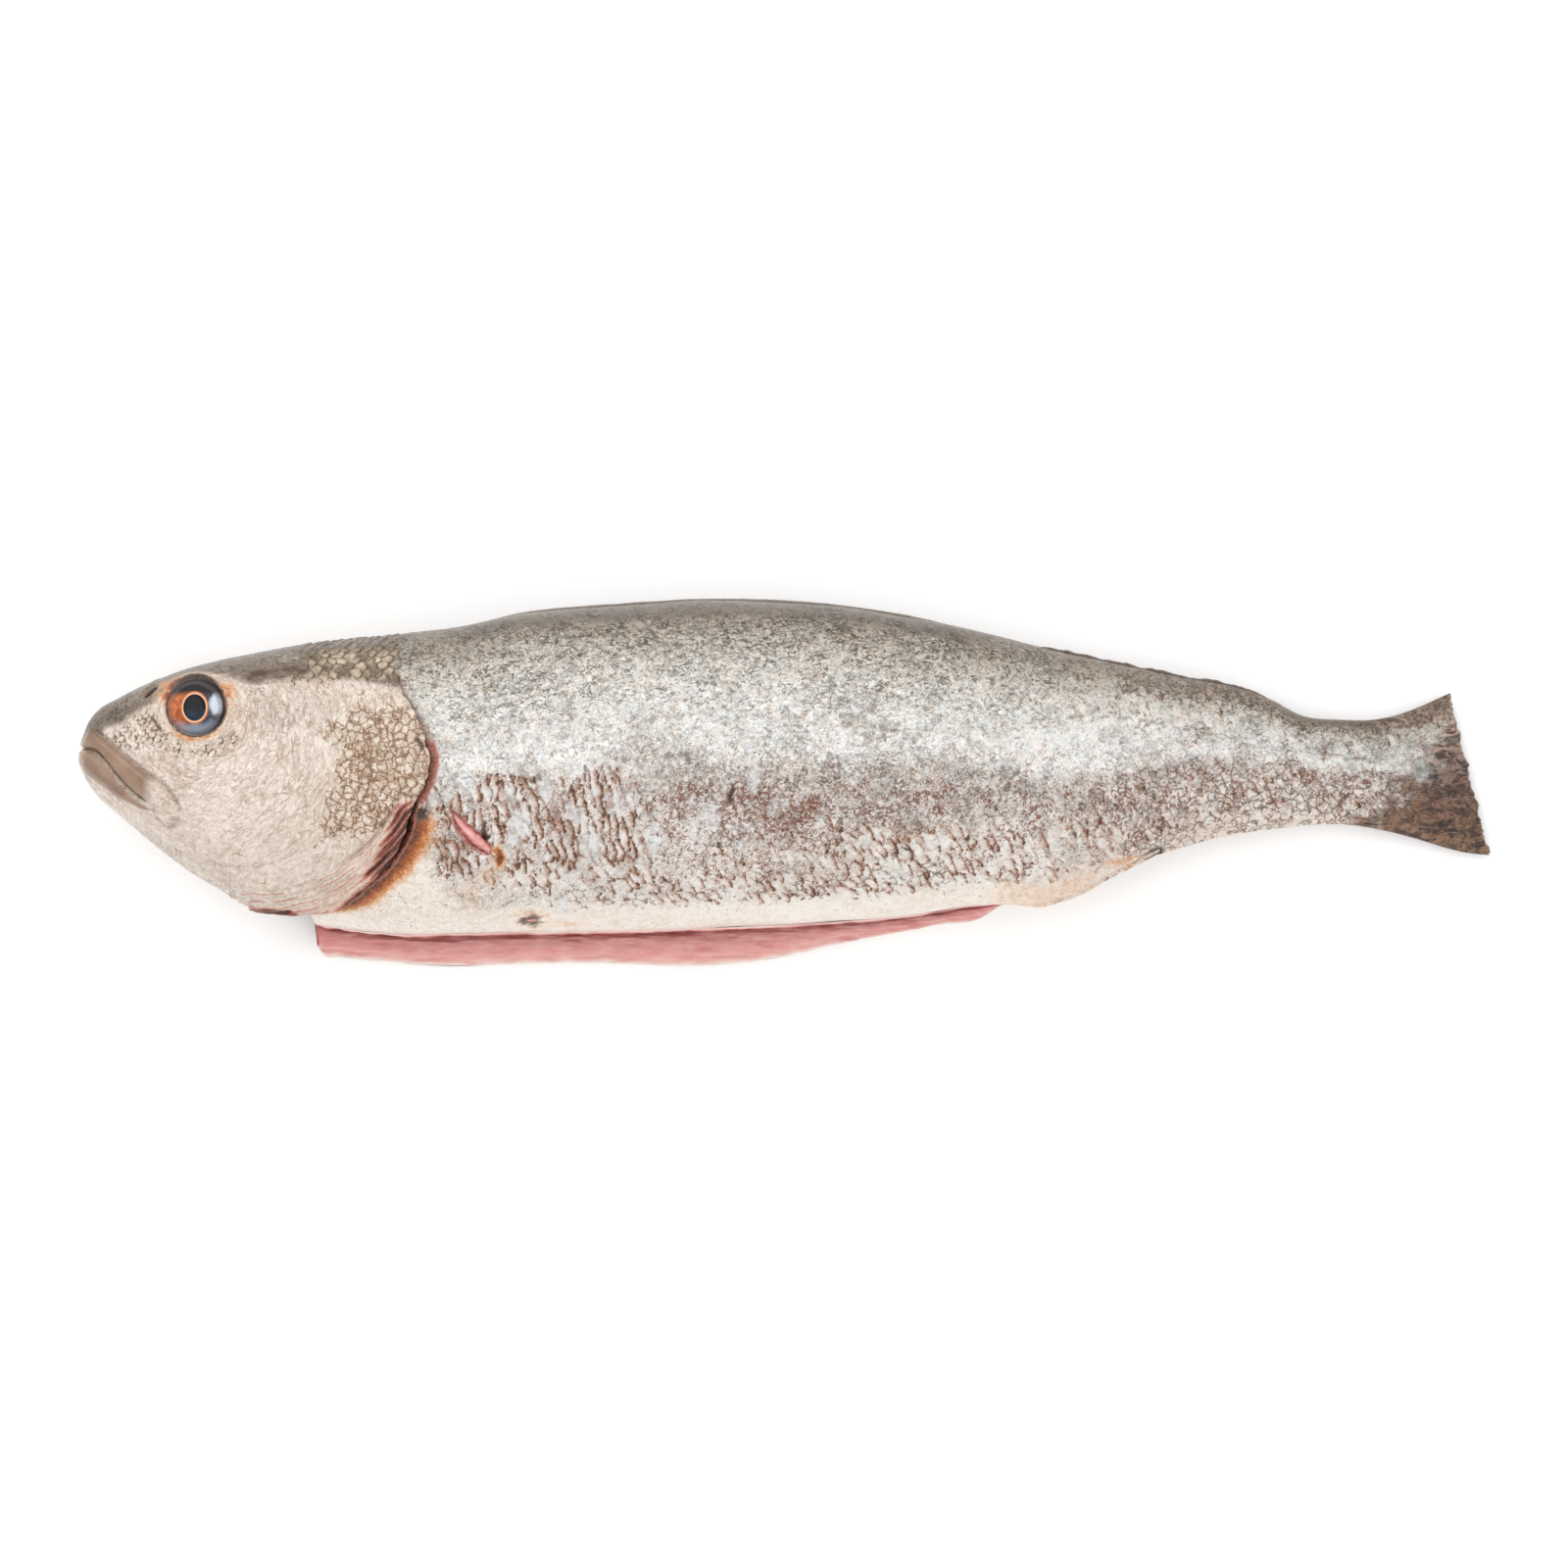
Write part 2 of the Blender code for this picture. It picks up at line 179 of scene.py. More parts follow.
@dataclass(frozen=True)
class ScaleLattice:
    """Overlapping scales, or the pockets that they leave: staggered discs like roof tiles.

    length and width are the spacing along and round the fish, reach a disc's radius in
    spacings, and jitter how far a centre strays.
    """

    length: float
    width: float
    reach: float = 0.80
    jitter: float = 0.20
    seed: int = 1

    def laid(self, along: Array, across: Array) -> tuple[Array, Array, Array, Array]:
        """The topmost scale at each point, which is the one whose centre lies furthest forward.

        Returns:
            Its height, rising to its rear rim; the distance to that rim; its own random tone;
            and 0 in the middle of its rear rim to 1 at its sides.
        """
        chance = np.random.default_rng(self.seed).random((4, 64, 64))
        u, v = along / self.length, across / self.width
        base_v = np.floor(v).astype(int)
        top = np.full(u.shape, -9.0)
        rim, tone, arc = np.zeros(u.shape), np.zeros(u.shape), np.ones(u.shape)
        for step_v in (-1, 0, 1):
            row = base_v + step_v
            stagger = 0.5 * (row & 1)
            base_u = np.floor(u - stagger).astype(int)
            for step_u in (-1, 0, 1):
                column = base_u + step_u
                draw = chance[:, column & 63, row & 63]
                x = u - (column + stagger + 0.5 + self.jitter * (2 * draw[0] - 1))
                y = v - (row + 0.5 + self.jitter * (2 * draw[1] - 1))
                inside = self.reach * (0.9 + 0.2 * draw[2]) - np.hypot(x, y)
                on_top = (inside > 0) & (x > top)
                top = np.where(on_top, x, top)
                rim = np.where(on_top, inside, rim)
                tone = np.where(on_top, draw[3], tone)
                arc = np.where(on_top, np.abs(y) / self.reach + (x < 0), arc)
        return np.clip(top, -1, 1), rim * min(self.length, self.width), tone, np.clip(arc, 0, 1)


@dataclass(frozen=True)
class Line:
    """A line drawn on the side view, through (station, height) pairs."""

    points: Path

    def path(self) -> Array:
        """The smooth line's points, as shares of the length."""
        return flowing(np.array(self.points), 6 * len(self.points))

    def near(self, x: Array, y: Array) -> tuple[Array, Array, Array]:
        """Distances to the line from points of the side view.

        Args:
            x: X in metres.
            y: Y in metres.

        Returns:
            The distance, the share of the line's length at the nearest point, and 1 or -1 for
            the side: 1 is to the left of someone who walks along the line.
        """
        path = self.path() * LENGTH + (NOSE_X, 0.0)
        count = len(path) - 1
        distance = np.full(x.shape, 9.0)
        share, side = np.zeros(x.shape), np.ones(x.shape)
        for index, (start, end) in enumerate(zip(path, path[1:])):
            step = end - start
            way_x, way_y = x - start[0], y - start[1]
            part = np.clip((way_x * step[0] + way_y * step[1]) / (step @ step + 1e-12), 0, 1)
            far = np.hypot(way_x - part * step[0], way_y - part * step[1])
            nearer = far < distance
            distance = np.where(nearer, far, distance)
            share = np.where(nearer, (index + part) / count, share)
            side = np.where(nearer, np.sign(step[0] * way_y - step[1] * way_x + 1e-15), side)
        return distance, share, side

    def stroke(self, x: Array, y: Array, width: float, fade: float = 0.08) -> Array:
        """1 on the line, fading over width to its sides and over the share fade at its ends."""
        distance, share, _ = self.near(x, y)
        return bell(distance, 0, width) * eased(share, 0, fade) * (1 - eased(share, 1 - fade, 1))


@dataclass(frozen=True)
class Patch:
    """An area of the side view inside a smooth closed line of (station, height) pairs."""

    points: Path

    def depth(self, x: Array, y: Array) -> Array:
        """The distance to the area's edge, above 0 inside the area and below 0 outside."""
        loop = self.points + self.points[:1]
        distance, _, _ = Line(loop).near(x, y)
        path = Line(loop).path() * LENGTH + (NOSE_X, 0.0)
        inside = np.zeros(x.shape, bool)
        for start, end in zip(path, path[1:]):
            crosses = (start[1] > y) != (end[1] > y)
            at = start[0] + (y - start[1]) * (end[0] - start[0]) / (end[1] - start[1] + 1e-15)
            inside ^= crosses & (x < at)
        return np.where(inside, distance, -distance)


class Section:
    """The sizes of the fish's cross sections at some stations.

    split is 1 where the belly walls stand apart, as they do behind the throat, and 0 for the
    closed sections of the head.
    """

    BACK_LINE: Path = (
        (0.0000, 0.0200), (0.0030, 0.0340), (0.0075, 0.0450), (0.0150, 0.0535), (0.0280, 0.0610),
        (0.0420, 0.0680), (0.0700, 0.0790), (0.1110, 0.0905), (0.1670, 0.1000), (0.2220, 0.1055),
        (0.2640, 0.1105), (0.3200, 0.1215), (0.3750, 0.1260), (0.4580, 0.1300), (0.5140, 0.1280),
        (0.5700, 0.1215), (0.6250, 0.1110), (0.7080, 0.0915), (0.7780, 0.0770), (0.8330, 0.0655),
        (0.8520, 0.0578), (0.8680, 0.0495), (0.9000, 0.0460), (0.9200, 0.0458), (0.9400, 0.0492),
        (0.9610, 0.0560), (0.9840, 0.0655),
    )
    KEEL_LINE: Path = (
        (0.0000, 0.0175), (0.0030, 0.0080), (0.0090, -0.0030), (0.0160, -0.0110),
        (0.0280, -0.0210), (0.0420, -0.0330), (0.0700, -0.0555), (0.0970, -0.0730),
        (0.1250, -0.0880), (0.1530, -0.0970), (0.1800, -0.1020), (0.2200, -0.1065),
        (0.3000, -0.1058), (0.4000, -0.1042), (0.4700, -0.1015), (0.5300, -0.0985),
        (0.5850, -0.0938), (0.6300, -0.0872), (0.6550, -0.0853), (0.6850, -0.0843),
        (0.7080, -0.0771), (0.7400, -0.0598), (0.7640, -0.0490), (0.8050, -0.0357),
        (0.8470, -0.0285), (0.8820, -0.0257), (0.9170, -0.0280), (0.9440, -0.0366),
        (0.9640, -0.0452), (0.9840, -0.0494),
    )
    HALF_THICKNESS: Path = (
        (0.0000, 0.0060), (0.0030, 0.0150), (0.0150, 0.0250), (0.0420, 0.0370), (0.0830, 0.0480),
        (0.1250, 0.0560), (0.1800, 0.0605), (0.2300, 0.0625), (0.3000, 0.0650), (0.3800, 0.0662),
        (0.4600, 0.0650), (0.5500, 0.0590), (0.6400, 0.0500), (0.7200, 0.0380), (0.7800, 0.0285),
        (0.8300, 0.0215), (0.8700, 0.0160), (0.9100, 0.0115), (0.9500, 0.0072), (0.9840, 0.0042),
    )
    CLEARANCE: Path = (
        (0.0000, 0.0), (0.5000, 0.0), (0.6400, 0.0010), (0.7500, 0.0050), (0.8400, 0.0075),
        (0.9200, 0.0060), (0.9840, 0.0030),
    )
    FLAP_REACH: Path = (
        (0.1560, 0.0000), (0.1635, 0.0006), (0.1665, 0.0150), (0.1690, 0.0192), (0.1840, 0.0205), (0.2200, 0.0205), (0.2600, 0.0229), (0.3800, 0.0231),
        (0.4310, 0.0268), (0.4700, 0.0262), (0.5000, 0.0229), (0.5280, 0.0181), (0.5560, 0.0142),
        (0.6100, 0.0104), (0.6400, 0.0088), (0.6560, 0.0000), (0.6700, 0.0000),
    )
    HEAD_EDGE: Path = (
        (0.2280, 0.1040), (0.2300, 0.0850), (0.2310, 0.0640), (0.2417, 0.0451), (0.2479, 0.0278),
        (0.2500, 0.0150), (0.2465, 0.0000), (0.2382, -0.0150), (0.2299, -0.0396),
        (0.2188, -0.0569), (0.1986, -0.0750), (0.1785, -0.0878), (0.1540, -0.0905),
        (0.1240, -0.0873),
    )
    SLIT_FRONT = 0.1670     # station of the belly walls' front corners
    SLIT_BACK = 0.6600
    SLIT_CLOSING = 0.0900
    FLAP_TOP = 0.0052       # height of the right wall's cut edge over the table
    SLIT_FLOOR = 0.0090
    SLIT_OPENING = 0.0072
    WALL_EDGE = 0.0195      # height of the left wall's cut edge
    BACK_FULLNESS = 0.82
    BELLY_FULLNESS = 0.95
    TAIL_SLANT = 0.248
    TAIL_SLANT_FROM = 0.900
    TAIL_SHIFT = 0.0032

    def __init__(self, stations: Array, split: float) -> None:
        stations = np.asarray(stations, float)
        slit = split * (1 - eased(stations, self.SLIT_BACK - self.SLIT_CLOSING, self.SLIT_BACK))
        self.back = LENGTH * smooth_line(self.BACK_LINE, stations)
        self.left_belly = LENGTH * smooth_line(self.KEEL_LINE, stations)
        reach = split * LENGTH * np.maximum(smooth_line(self.FLAP_REACH, stations), 0)
        self.right_belly = self.left_belly - reach
        self.half = LENGTH * smooth_line(self.HALF_THICKNESS, stations)
        clearance = LENGTH * smooth_line(self.CLEARANCE, stations)
        sinking = eased(stations, 0.48, 0.70)
        self.plane = (1 - sinking) * SPINE_PLANE + sinking * (self.half + clearance)
        blunt = np.minimum(0.35 * self.half, 0.0016)
        self.left_edge = (1 - slit) * (self.plane + blunt) + slit * self.WALL_EDGE
        self.notch = (1 - slit) * self.plane + slit * self.SLIT_FLOOR
        self.right_edge = (1 - slit) * (self.plane - blunt) + slit * self.FLAP_TOP
        self.widest = 0.56 * self.back + 0.44 * self.left_belly
        self.slit = slit

    def flank(self, turn: Array, side: Side, lift: Array = 0.0) -> tuple[Array, Array]:
        """A flank's fuller half ellipse: y = widest + reach * cos(turn), z = sin(turn) ** power.

        Args:
            turn: 0 at the back line to pi at the belly edge.
            side: the flank.
            lift: how far outwards the point moves.

        Returns:
            Y and Z.
        """
        left = side is Side.LEFT
        belly = self.left_belly if left else self.right_belly
        edge = self.left_edge if left else self.right_edge
        crest = self.plane + side.value * self.half
        on_back = turn < math.pi / 2
        reach = np.where(on_back, self.back - self.widest, self.widest - belly)
        base = np.where(on_back, self.plane, edge)
        power = np.where(on_back, self.BACK_FULLNESS, self.BELLY_FULLNESS)
        swell = np.clip(np.sin(turn), 0.0, 1.0) ** power
        across = reach * np.cos(turn)
        above = base + (crest - base) * swell - self.plane
        grow = 1 + lift / np.maximum(np.hypot(across, above), 1e-5)
        return self.widest + across * grow, self.plane + above * grow

    def over(self, y: Array, side: Side) -> Array:
        """Z of a flank at Y."""
        belly = self.left_belly if side is Side.LEFT else self.right_belly
        reach = np.where(y > self.widest, self.back - self.widest, self.widest - belly)
        return self.flank(np.arccos(np.clip((y - self.widest) / reach, -1, 1)), side)[1]

    @classmethod
    def place_x(cls, station: Array, height: Array) -> Array:
        """X of a station, leaning back below the axis towards the tail's slanted edge."""
        slant = (station - cls.TAIL_SLANT_FROM) / (TAIL_SHARE - cls.TAIL_SLANT_FROM)
        slant = np.clip(slant, 0, 1)
        return NOSE_X + LENGTH * station + slant * (cls.TAIL_SHIFT - cls.TAIL_SLANT * height)

    @classmethod
    def head_edge(cls, turns: Array) -> Array:
        """The station of the head's rear edge for each turn of a flank."""
        edge = np.array(cls.HEAD_EDGE)
        section = cls(edge[:, 0], 0)
        level = LENGTH * edge[:, 1] - section.widest
        above, below = section.back - section.widest, section.widest - section.left_belly
        edge_turns = np.arccos(np.clip(level / np.where(level > 0, above, below), -1.0, 1.0))
        knots = np.arange(len(edge)) + 1.0
        fine = np.linspace(knots[0], knots[-1], 400)
        stations = smooth_line(np.column_stack([knots, edge[:, 0]]), fine)
        fine_turns = smooth_line(np.column_stack([knots, edge_turns]), fine)
        return np.interp(turns, np.maximum.accumulate(fine_turns), stations)

    @classmethod
    def even_turns(cls, station: float, side: Side, count: int) -> Array:
        """Turns of one flank that are evenly spaced along its skin at a station."""
        fine = np.linspace(0.0, math.pi, 1500)
        y, z = cls(station, 1).flank(fine, side)
        run = np.concatenate([[0], np.cumsum(np.hypot(np.diff(y), np.diff(z)))])
        return np.interp(np.linspace(0, run[-1], count), run, fine)


@dataclass
class Sheet:
    """A surface on a grid: points of shape (rows, columns, 3) and masks of (rows, columns).

    Rows run round the fish from the right belly edge over the back to the left belly edge, and
    columns from head to tail. outward is -1 where rows crossed with columns point inwards.
    """

    points: Array
    masks: dict[str, Array]
    outward: int = -1

    def normals(self) -> Array:
        """Unit normals: the cross product of the grid's two directions."""
        along = np.gradient(self.points, axis=1)
        around = np.gradient(self.points, axis=0)
        normal = self.outward * np.cross(along, around)
        size = np.linalg.norm(normal, axis=2, keepdims=True)
        safe = np.where(size > 1e-14, normal / np.maximum(size, 1e-14), (-1.0, 0.0, 0.0))
        return safe

    def raise_by(self, height: Array) -> None:
        """Moves each point along its normal by height, and keeps it above the table."""
        self.points = self.points + self.normals() * height[..., None]
        self.points[..., 2] = np.maximum(self.points[..., 2], 0.0001)

    def window(self, rows: slice, columns: slice) -> "Sheet":
        """A part of the grid, with its masks."""
        part = Sheet(self.points[rows, columns], {}, self.outward)
        part.masks = {name: mask[rows, columns] for name, mask in self.masks.items()}
        return part

    def piece(self, name: str, material: bpy.types.Material, shading: Array) -> bpy.types.Object:
        """Makes the mesh object.

        Args:
            name: the piece's name.
            material: its material.
            shading: unit normals for smooth shading, one for each point.

        Returns:
            The object, at the origin.
        """
        self.points[..., 2] = np.maximum(self.points[..., 2], 0.0001)
        rows, columns = self.points.shape[:2]
        corner = np.arange(rows * columns).reshape(rows, columns)
        quads = np.stack(
            [corner[:-1, :-1], corner[:-1, 1:], corner[1:, 1:], corner[1:, :-1]], axis=-1
        ).reshape(-1, 4)
        if self.outward < 0:
            quads = quads[:, ::-1]
        mesh = bpy.data.meshes.new(name)
        mesh.from_pydata(self.points.reshape(-1, 3), [], quads)
        held = {"shading": shading, **self.masks}
        for label, values in held.items():
            kind, slot = ("FLOAT_VECTOR", "vector") if values.ndim == 3 else ("FLOAT", "value")
            layer = mesh.attributes.new(label, kind, "POINT")
            layer.data.foreach_set(slot, np.ascontiguousarray(values, np.float32).ravel())
        welded = bmesh.new()
        welded.from_mesh(mesh)
        bmesh.ops.remove_doubles(welded, verts=welded.verts, dist=2e-6)
        bmesh.ops.dissolve_degenerate(welded, edges=welded.edges, dist=1e-7)
        welded.to_mesh(mesh)
        welded.free()
        mesh.shade_smooth()
        normals = np.empty(3 * len(mesh.vertices), np.float32)
        mesh.attributes["shading"].data.foreach_get("vector", normals)
        mesh.normals_split_custom_set_from_vertices(normals.reshape(-1, 3))
        mesh.attributes.remove(mesh.attributes["shading"])
        mesh.materials.append(material)
        made = bpy.data.objects.new(name, mesh)
        bpy.context.scene.collection.objects.link(made)
        return made


def placed(piece: bpy.types.Object, node: str) -> bpy.types.Object:
    """Rides a piece on the fish, as the stand-in for a CAD node, and reports it."""
    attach(piece, "root")
    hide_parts(node)
    LOG.info("%s: %d faces", piece.name, len(piece.data.polygons))
    return piece


def tint(red: int, green: int, blue: int) -> Colour:
    """A linear colour from its everyday 0 to 255 values."""
    shares = (value / 255 for value in (red, green, blue))
    return tuple(s / 12.92 if s <= 0.04045 else ((s + 0.055) / 1.055) ** 2.4 for s in shares)


Socket = bpy.types.NodeSocket
Value = float | Socket


class Graph:
    """A short way to write a node tree."""

    def __init__(self, tree: bpy.types.NodeTree) -> None:
        self.tree = tree

    def put(self, kind: str, **settings: object) -> bpy.types.Node:
        """A new node with these settings."""
        node = self.tree.nodes.new(kind)
        for name, value in settings.items():
            setattr(node, name, value)
        return node

    def feed(self, socket: Socket, value: object) -> None:
        """Links an output to a socket, or sets the socket's own value."""
        if isinstance(value, bpy.types.NodeSocket):
            self.tree.links.new(value, socket)
        elif isinstance(value, tuple) and len(value) == 3 and socket.type == "RGBA":
            socket.default_value = (*value, 1.0)
        else:
            socket.default_value = value

    def mask(self, name: str) -> Socket:
        """The value of one of the piece's masks."""
        return self.put("ShaderNodeAttribute", attribute_name=name).outputs["Fac"]

    def maths(self, operation: str, first: Value, second: Value = 0.0) -> Socket:
        """One arithmetic step."""
        node = self.put("ShaderNodeMath", operation=operation)
        self.feed(node.inputs[0], first)
        self.feed(node.inputs[1], second)
        return node.outputs[0]

    def span(self, value: Value, low: Value, high: Value, start: float = 0.0,
             end: float = 1.0) -> Socket:
        """Start below low, end above high, and a smooth step between them."""
        node = self.put("ShaderNodeMapRange", interpolation_type="SMOOTHSTEP")
        for name, given in zip(("Value", "From Min", "From Max", "To Min", "To Max"),
                               (value, low, high, start, end)):
            self.feed(node.inputs[name], given)
        return node.outputs["Result"]

    def blend(self, share: Value, first: object, second: object, mode: str = "MIX") -> Socket:
        """Two colours mixed by a share."""
        node = self.put("ShaderNodeMix", data_type="RGBA", blend_type=mode, clamp_result=True)
        self.feed(node.inputs[0], share)
        self.feed(node.inputs[6], first)
        self.feed(node.inputs[7], second)
        return node.outputs[2]

    def ramp(self, value: Socket, stops: Stops) -> Socket:
        """A colour that runs through the stops."""
        node = self.put("ShaderNodeValToRGB")
        elements = node.color_ramp.elements
        while len(elements) < len(stops):
            elements.new(1.0)
        for element, (place, colour) in zip(elements, stops):
            element.position = place
            element.color = (*colour, 1.0)
        self.feed(node.inputs[0], value)
        return node.outputs["Color"]

    def noise(self, vector: Socket, scale: Value, detail: float = 2.0,
              roughness: float = 0.5, distortion: float = 0.0) -> bpy.types.Node:
        """A noise texture."""
        node = self.put("ShaderNodeTexNoise")
        self.feed(node.inputs["Vector"], vector)
        self.feed(node.inputs["Scale"], scale)
        node.inputs["Detail"].default_value = detail
        node.inputs["Roughness"].default_value = roughness
        node.inputs["Distortion"].default_value = distortion
        return node

    def vector(self, operation: str, first: object, second: object) -> Socket:
        """One step of vector arithmetic."""
        node = self.put("ShaderNodeVectorMath", operation=operation)
        self.feed(node.inputs[0], first)
        self.feed(node.inputs[3 if operation == "SCALE" else 1], second)
        return node.outputs[0]

    def place(self) -> Socket:
        """Object coordinates."""
        return self.put("ShaderNodeTexCoord").outputs["Object"]

    def use(self, effect: bpy.types.NodeTree, **inputs: object) -> bpy.types.Node:
        """Places a shared effect with its own values."""
        node = self.put("ShaderNodeGroup", node_tree=effect)
        for name, value in inputs.items():
            self.feed(node.inputs[name.replace("_", " ")], value)
        return node


def new_effect(name: str, inputs: dict[str, tuple[str, object]],
               outputs: dict[str, str]) -> tuple[Graph, bpy.types.Node, bpy.types.Node]:
    """An empty shader node group with named sockets.

    Args:
        name: the effect's name.
        inputs: each input's kind and first value.
        outputs: each output's kind.

    Returns:
        Its graph, its input node and its output node.
    """
    tree = bpy.data.node_groups.new(name, "ShaderNodeTree")
    for label, (kind, start) in inputs.items():
        socket = tree.interface.new_socket(label, in_out="INPUT", socket_type="NodeSocket" + kind)
        if start is not None:
            socket.default_value = start
    for label, kind in outputs.items():
        tree.interface.new_socket(label, in_out="OUTPUT", socket_type="NodeSocket" + kind)
    graph = Graph(tree)
    return graph, graph.put("NodeGroupInput"), graph.put("NodeGroupOutput")


class Effects:
    """The effects that several materials share, each built once."""

    def __init__(self) -> None:
        self.crinkle = self.make_crinkle()
        self.crackle = self.make_crackle()
        self.strokes = self.make_strokes()
        self.flecks = self.make_flecks()
        self.stains = self.make_stains()

    @staticmethod
    def make_crinkle() -> bpy.types.NodeTree:
        """Winding lines of wet skin: crests and creases for painted highlight and shade, and height.
        """
        graph, given, result = new_effect(
            "Skin crinkle",
            {"Place": ("Vector", None), "Size": ("Float", 1.0), "Warp": ("Float", 1.0)},
            {"Tone": "Float", "Crest": "Float", "Crease": "Float", "Height": "Float"},
        )
        per_size = graph.maths("DIVIDE", 1 / MILLIMETRE, given.outputs["Size"])
        place = graph.vector("SCALE", given.outputs["Place"], per_size)
        bend = graph.noise(place, 0.40, 2.0).outputs["Color"]
        bend = graph.vector("SUBTRACT", bend, (0.5, 0.5, 0.5))
        bend = graph.vector("SCALE", bend, graph.maths("MULTIPLY", given.outputs["Warp"], 3.0))
        place = graph.vector("ADD", place, bend)
        tone = graph.noise(place, 0.55, 3.0, 0.62).outputs["Fac"]
        winding = graph.noise(place, 0.62, 2.0, 0.5, 0.6).outputs["Fac"]
        crest = graph.maths("ABSOLUTE", graph.maths("SUBTRACT", winding, 0.5))
        crest = graph.span(crest, 0.0, 0.075, 1.0, 0.0)
        other = graph.noise(graph.vector("ADD", place, (31.0, 17.0, 5.0)), 0.52, 2.0, 0.55, 0.8)
        crease = graph.maths("ABSOLUTE", graph.maths("SUBTRACT", other.outputs["Fac"], 0.5))
        crease = graph.span(crease, 0.0, 0.080, 1.0, 0.0)
        thin = graph.noise(graph.vector("ADD", place, (7.0, 3.0, 60.0)), 1.0, 1.0, 0.5, 0.8)
        thin = graph.maths("ABSOLUTE", graph.maths("SUBTRACT", thin.outputs["Fac"], 0.5))
        thin = graph.span(thin, 0.0, 0.080, 0.8, 0.0)
        broken = graph.noise(place, 0.15, 2.0, 0.6).outputs["Fac"]
        crease = graph.maths("MULTIPLY", crease, graph.span(broken, 0.44, 0.58, 0.15, 1.0))
        thin = graph.maths("MULTIPLY", thin, graph.span(broken, 0.42, 0.56, 1.0, 0.25))
        crease = graph.maths("MAXIMUM", crease, thin)
        height = graph.maths("ADD", tone, graph.maths("MULTIPLY", crest, 0.35))
        height = graph.maths("SUBTRACT", height, graph.maths("MULTIPLY", crease, 0.45))
        for label, value in (("Tone", graph.span(tone, 0.25, 0.75)), ("Crest", crest),
                             ("Crease", crease), ("Height", height)):
            graph.feed(result.inputs[label], value)
        return graph.tree

    @staticmethod
    def make_strokes() -> bpy.types.NodeTree:
        """Dark broken strokes along the rims of scale pockets, and the brown glow beside them."""
        graph, given, result = new_effect(
            "Pocket strokes",
            {"Rim": ("Float", 1.0), "Strength": ("Float", 0.0), "Width": ("Float", 0.5)},
            {"Stroke": "Float", "Glow": "Float"},
        )
        place = graph.vector("SCALE", graph.place(), 1 / MILLIMETRE)
        wander = graph.noise(place, 0.8, 2.0, 0.6).outputs["Fac"]
        wander = graph.maths("MULTIPLY", graph.maths("SUBTRACT", wander, 0.5), 1.6)
        rim = graph.maths("ABSOLUTE", graph.maths("ADD", given.outputs["Rim"], wander))
        gaps = graph.noise(graph.vector("ADD", place, (3.0, 50.0, 9.0)), 0.30, 3.0, 0.6)
        open_at = graph.maths("MULTIPLY", given.outputs["Strength"], 0.50)
        open_at = graph.maths("SUBTRACT", 0.72, open_at)
        shown = graph.span(gaps.outputs["Fac"], open_at, graph.maths("ADD", open_at, 0.14))
        width = given.outputs["Width"]
        for label, reach in (("Stroke", width), ("Glow", graph.maths("MULTIPLY", width, 2.4))):
            near = graph.span(rim, 0.05, reach, 1.0, 0.0)
            graph.feed(result.inputs[label], graph.maths("MULTIPLY", near, shown))
        return graph.tree

    @staticmethod
    def make_crackle() -> bpy.types.NodeTree:
        """An uneven net of thin broken lines round cells that differ in tone."""
        graph, given, result = new_effect(
            "Skin crackle",
            {"Place": ("Vector", None), "Size": ("Float", 2.0), "Strength": ("Float", 0.0)},
            {"Line": "Float", "Halo": "Float", "Cell": "Float"},
        )
        per_size = graph.maths("DIVIDE", 1 / MILLIMETRE, given.outputs["Size"])
        place = graph.vector("SCALE", given.outputs["Place"], per_size)
        bend = graph.noise(place, 1.3, 3.0, 0.6).outputs["Color"]
        bend = graph.vector("SUBTRACT", bend, (0.5, 0.5, 0.5))
        bent = graph.vector("ADD", place, graph.vector("SCALE", bend, 1.25))
        edges, cells = (graph.put("ShaderNodeTexVoronoi", feature=kind)
                        for kind in ("DISTANCE_TO_EDGE", "F1"))
        for node in (edges, cells):
            graph.feed(node.inputs["Vector"], bent)
            node.inputs["Scale"].default_value = 1.0
        gaps = graph.noise(place, 0.40, 4.0, 0.70).outputs["Fac"]
        open_at = graph.maths("SUBTRACT", 0.72, graph.maths("MULTIPLY", given.outputs["Strength"],
                                                            0.42))
        shown = graph.span(gaps, open_at, graph.maths("ADD", open_at, 0.08))
        edge = edges.outputs["Distance"]
        for label, reach in (("Line", 0.080), ("Halo", 0.30)):
            near = graph.span(edge, 0.012, reach, 1.0, 0.0)
            graph.feed(result.inputs[label], graph.maths("MULTIPLY", near, shown))
        split = graph.put("ShaderNodeSeparateColor")
        graph.feed(split.inputs[0], cells.outputs["Color"])
        graph.feed(result.inputs["Cell"], split.outputs[0])
        return graph.tree

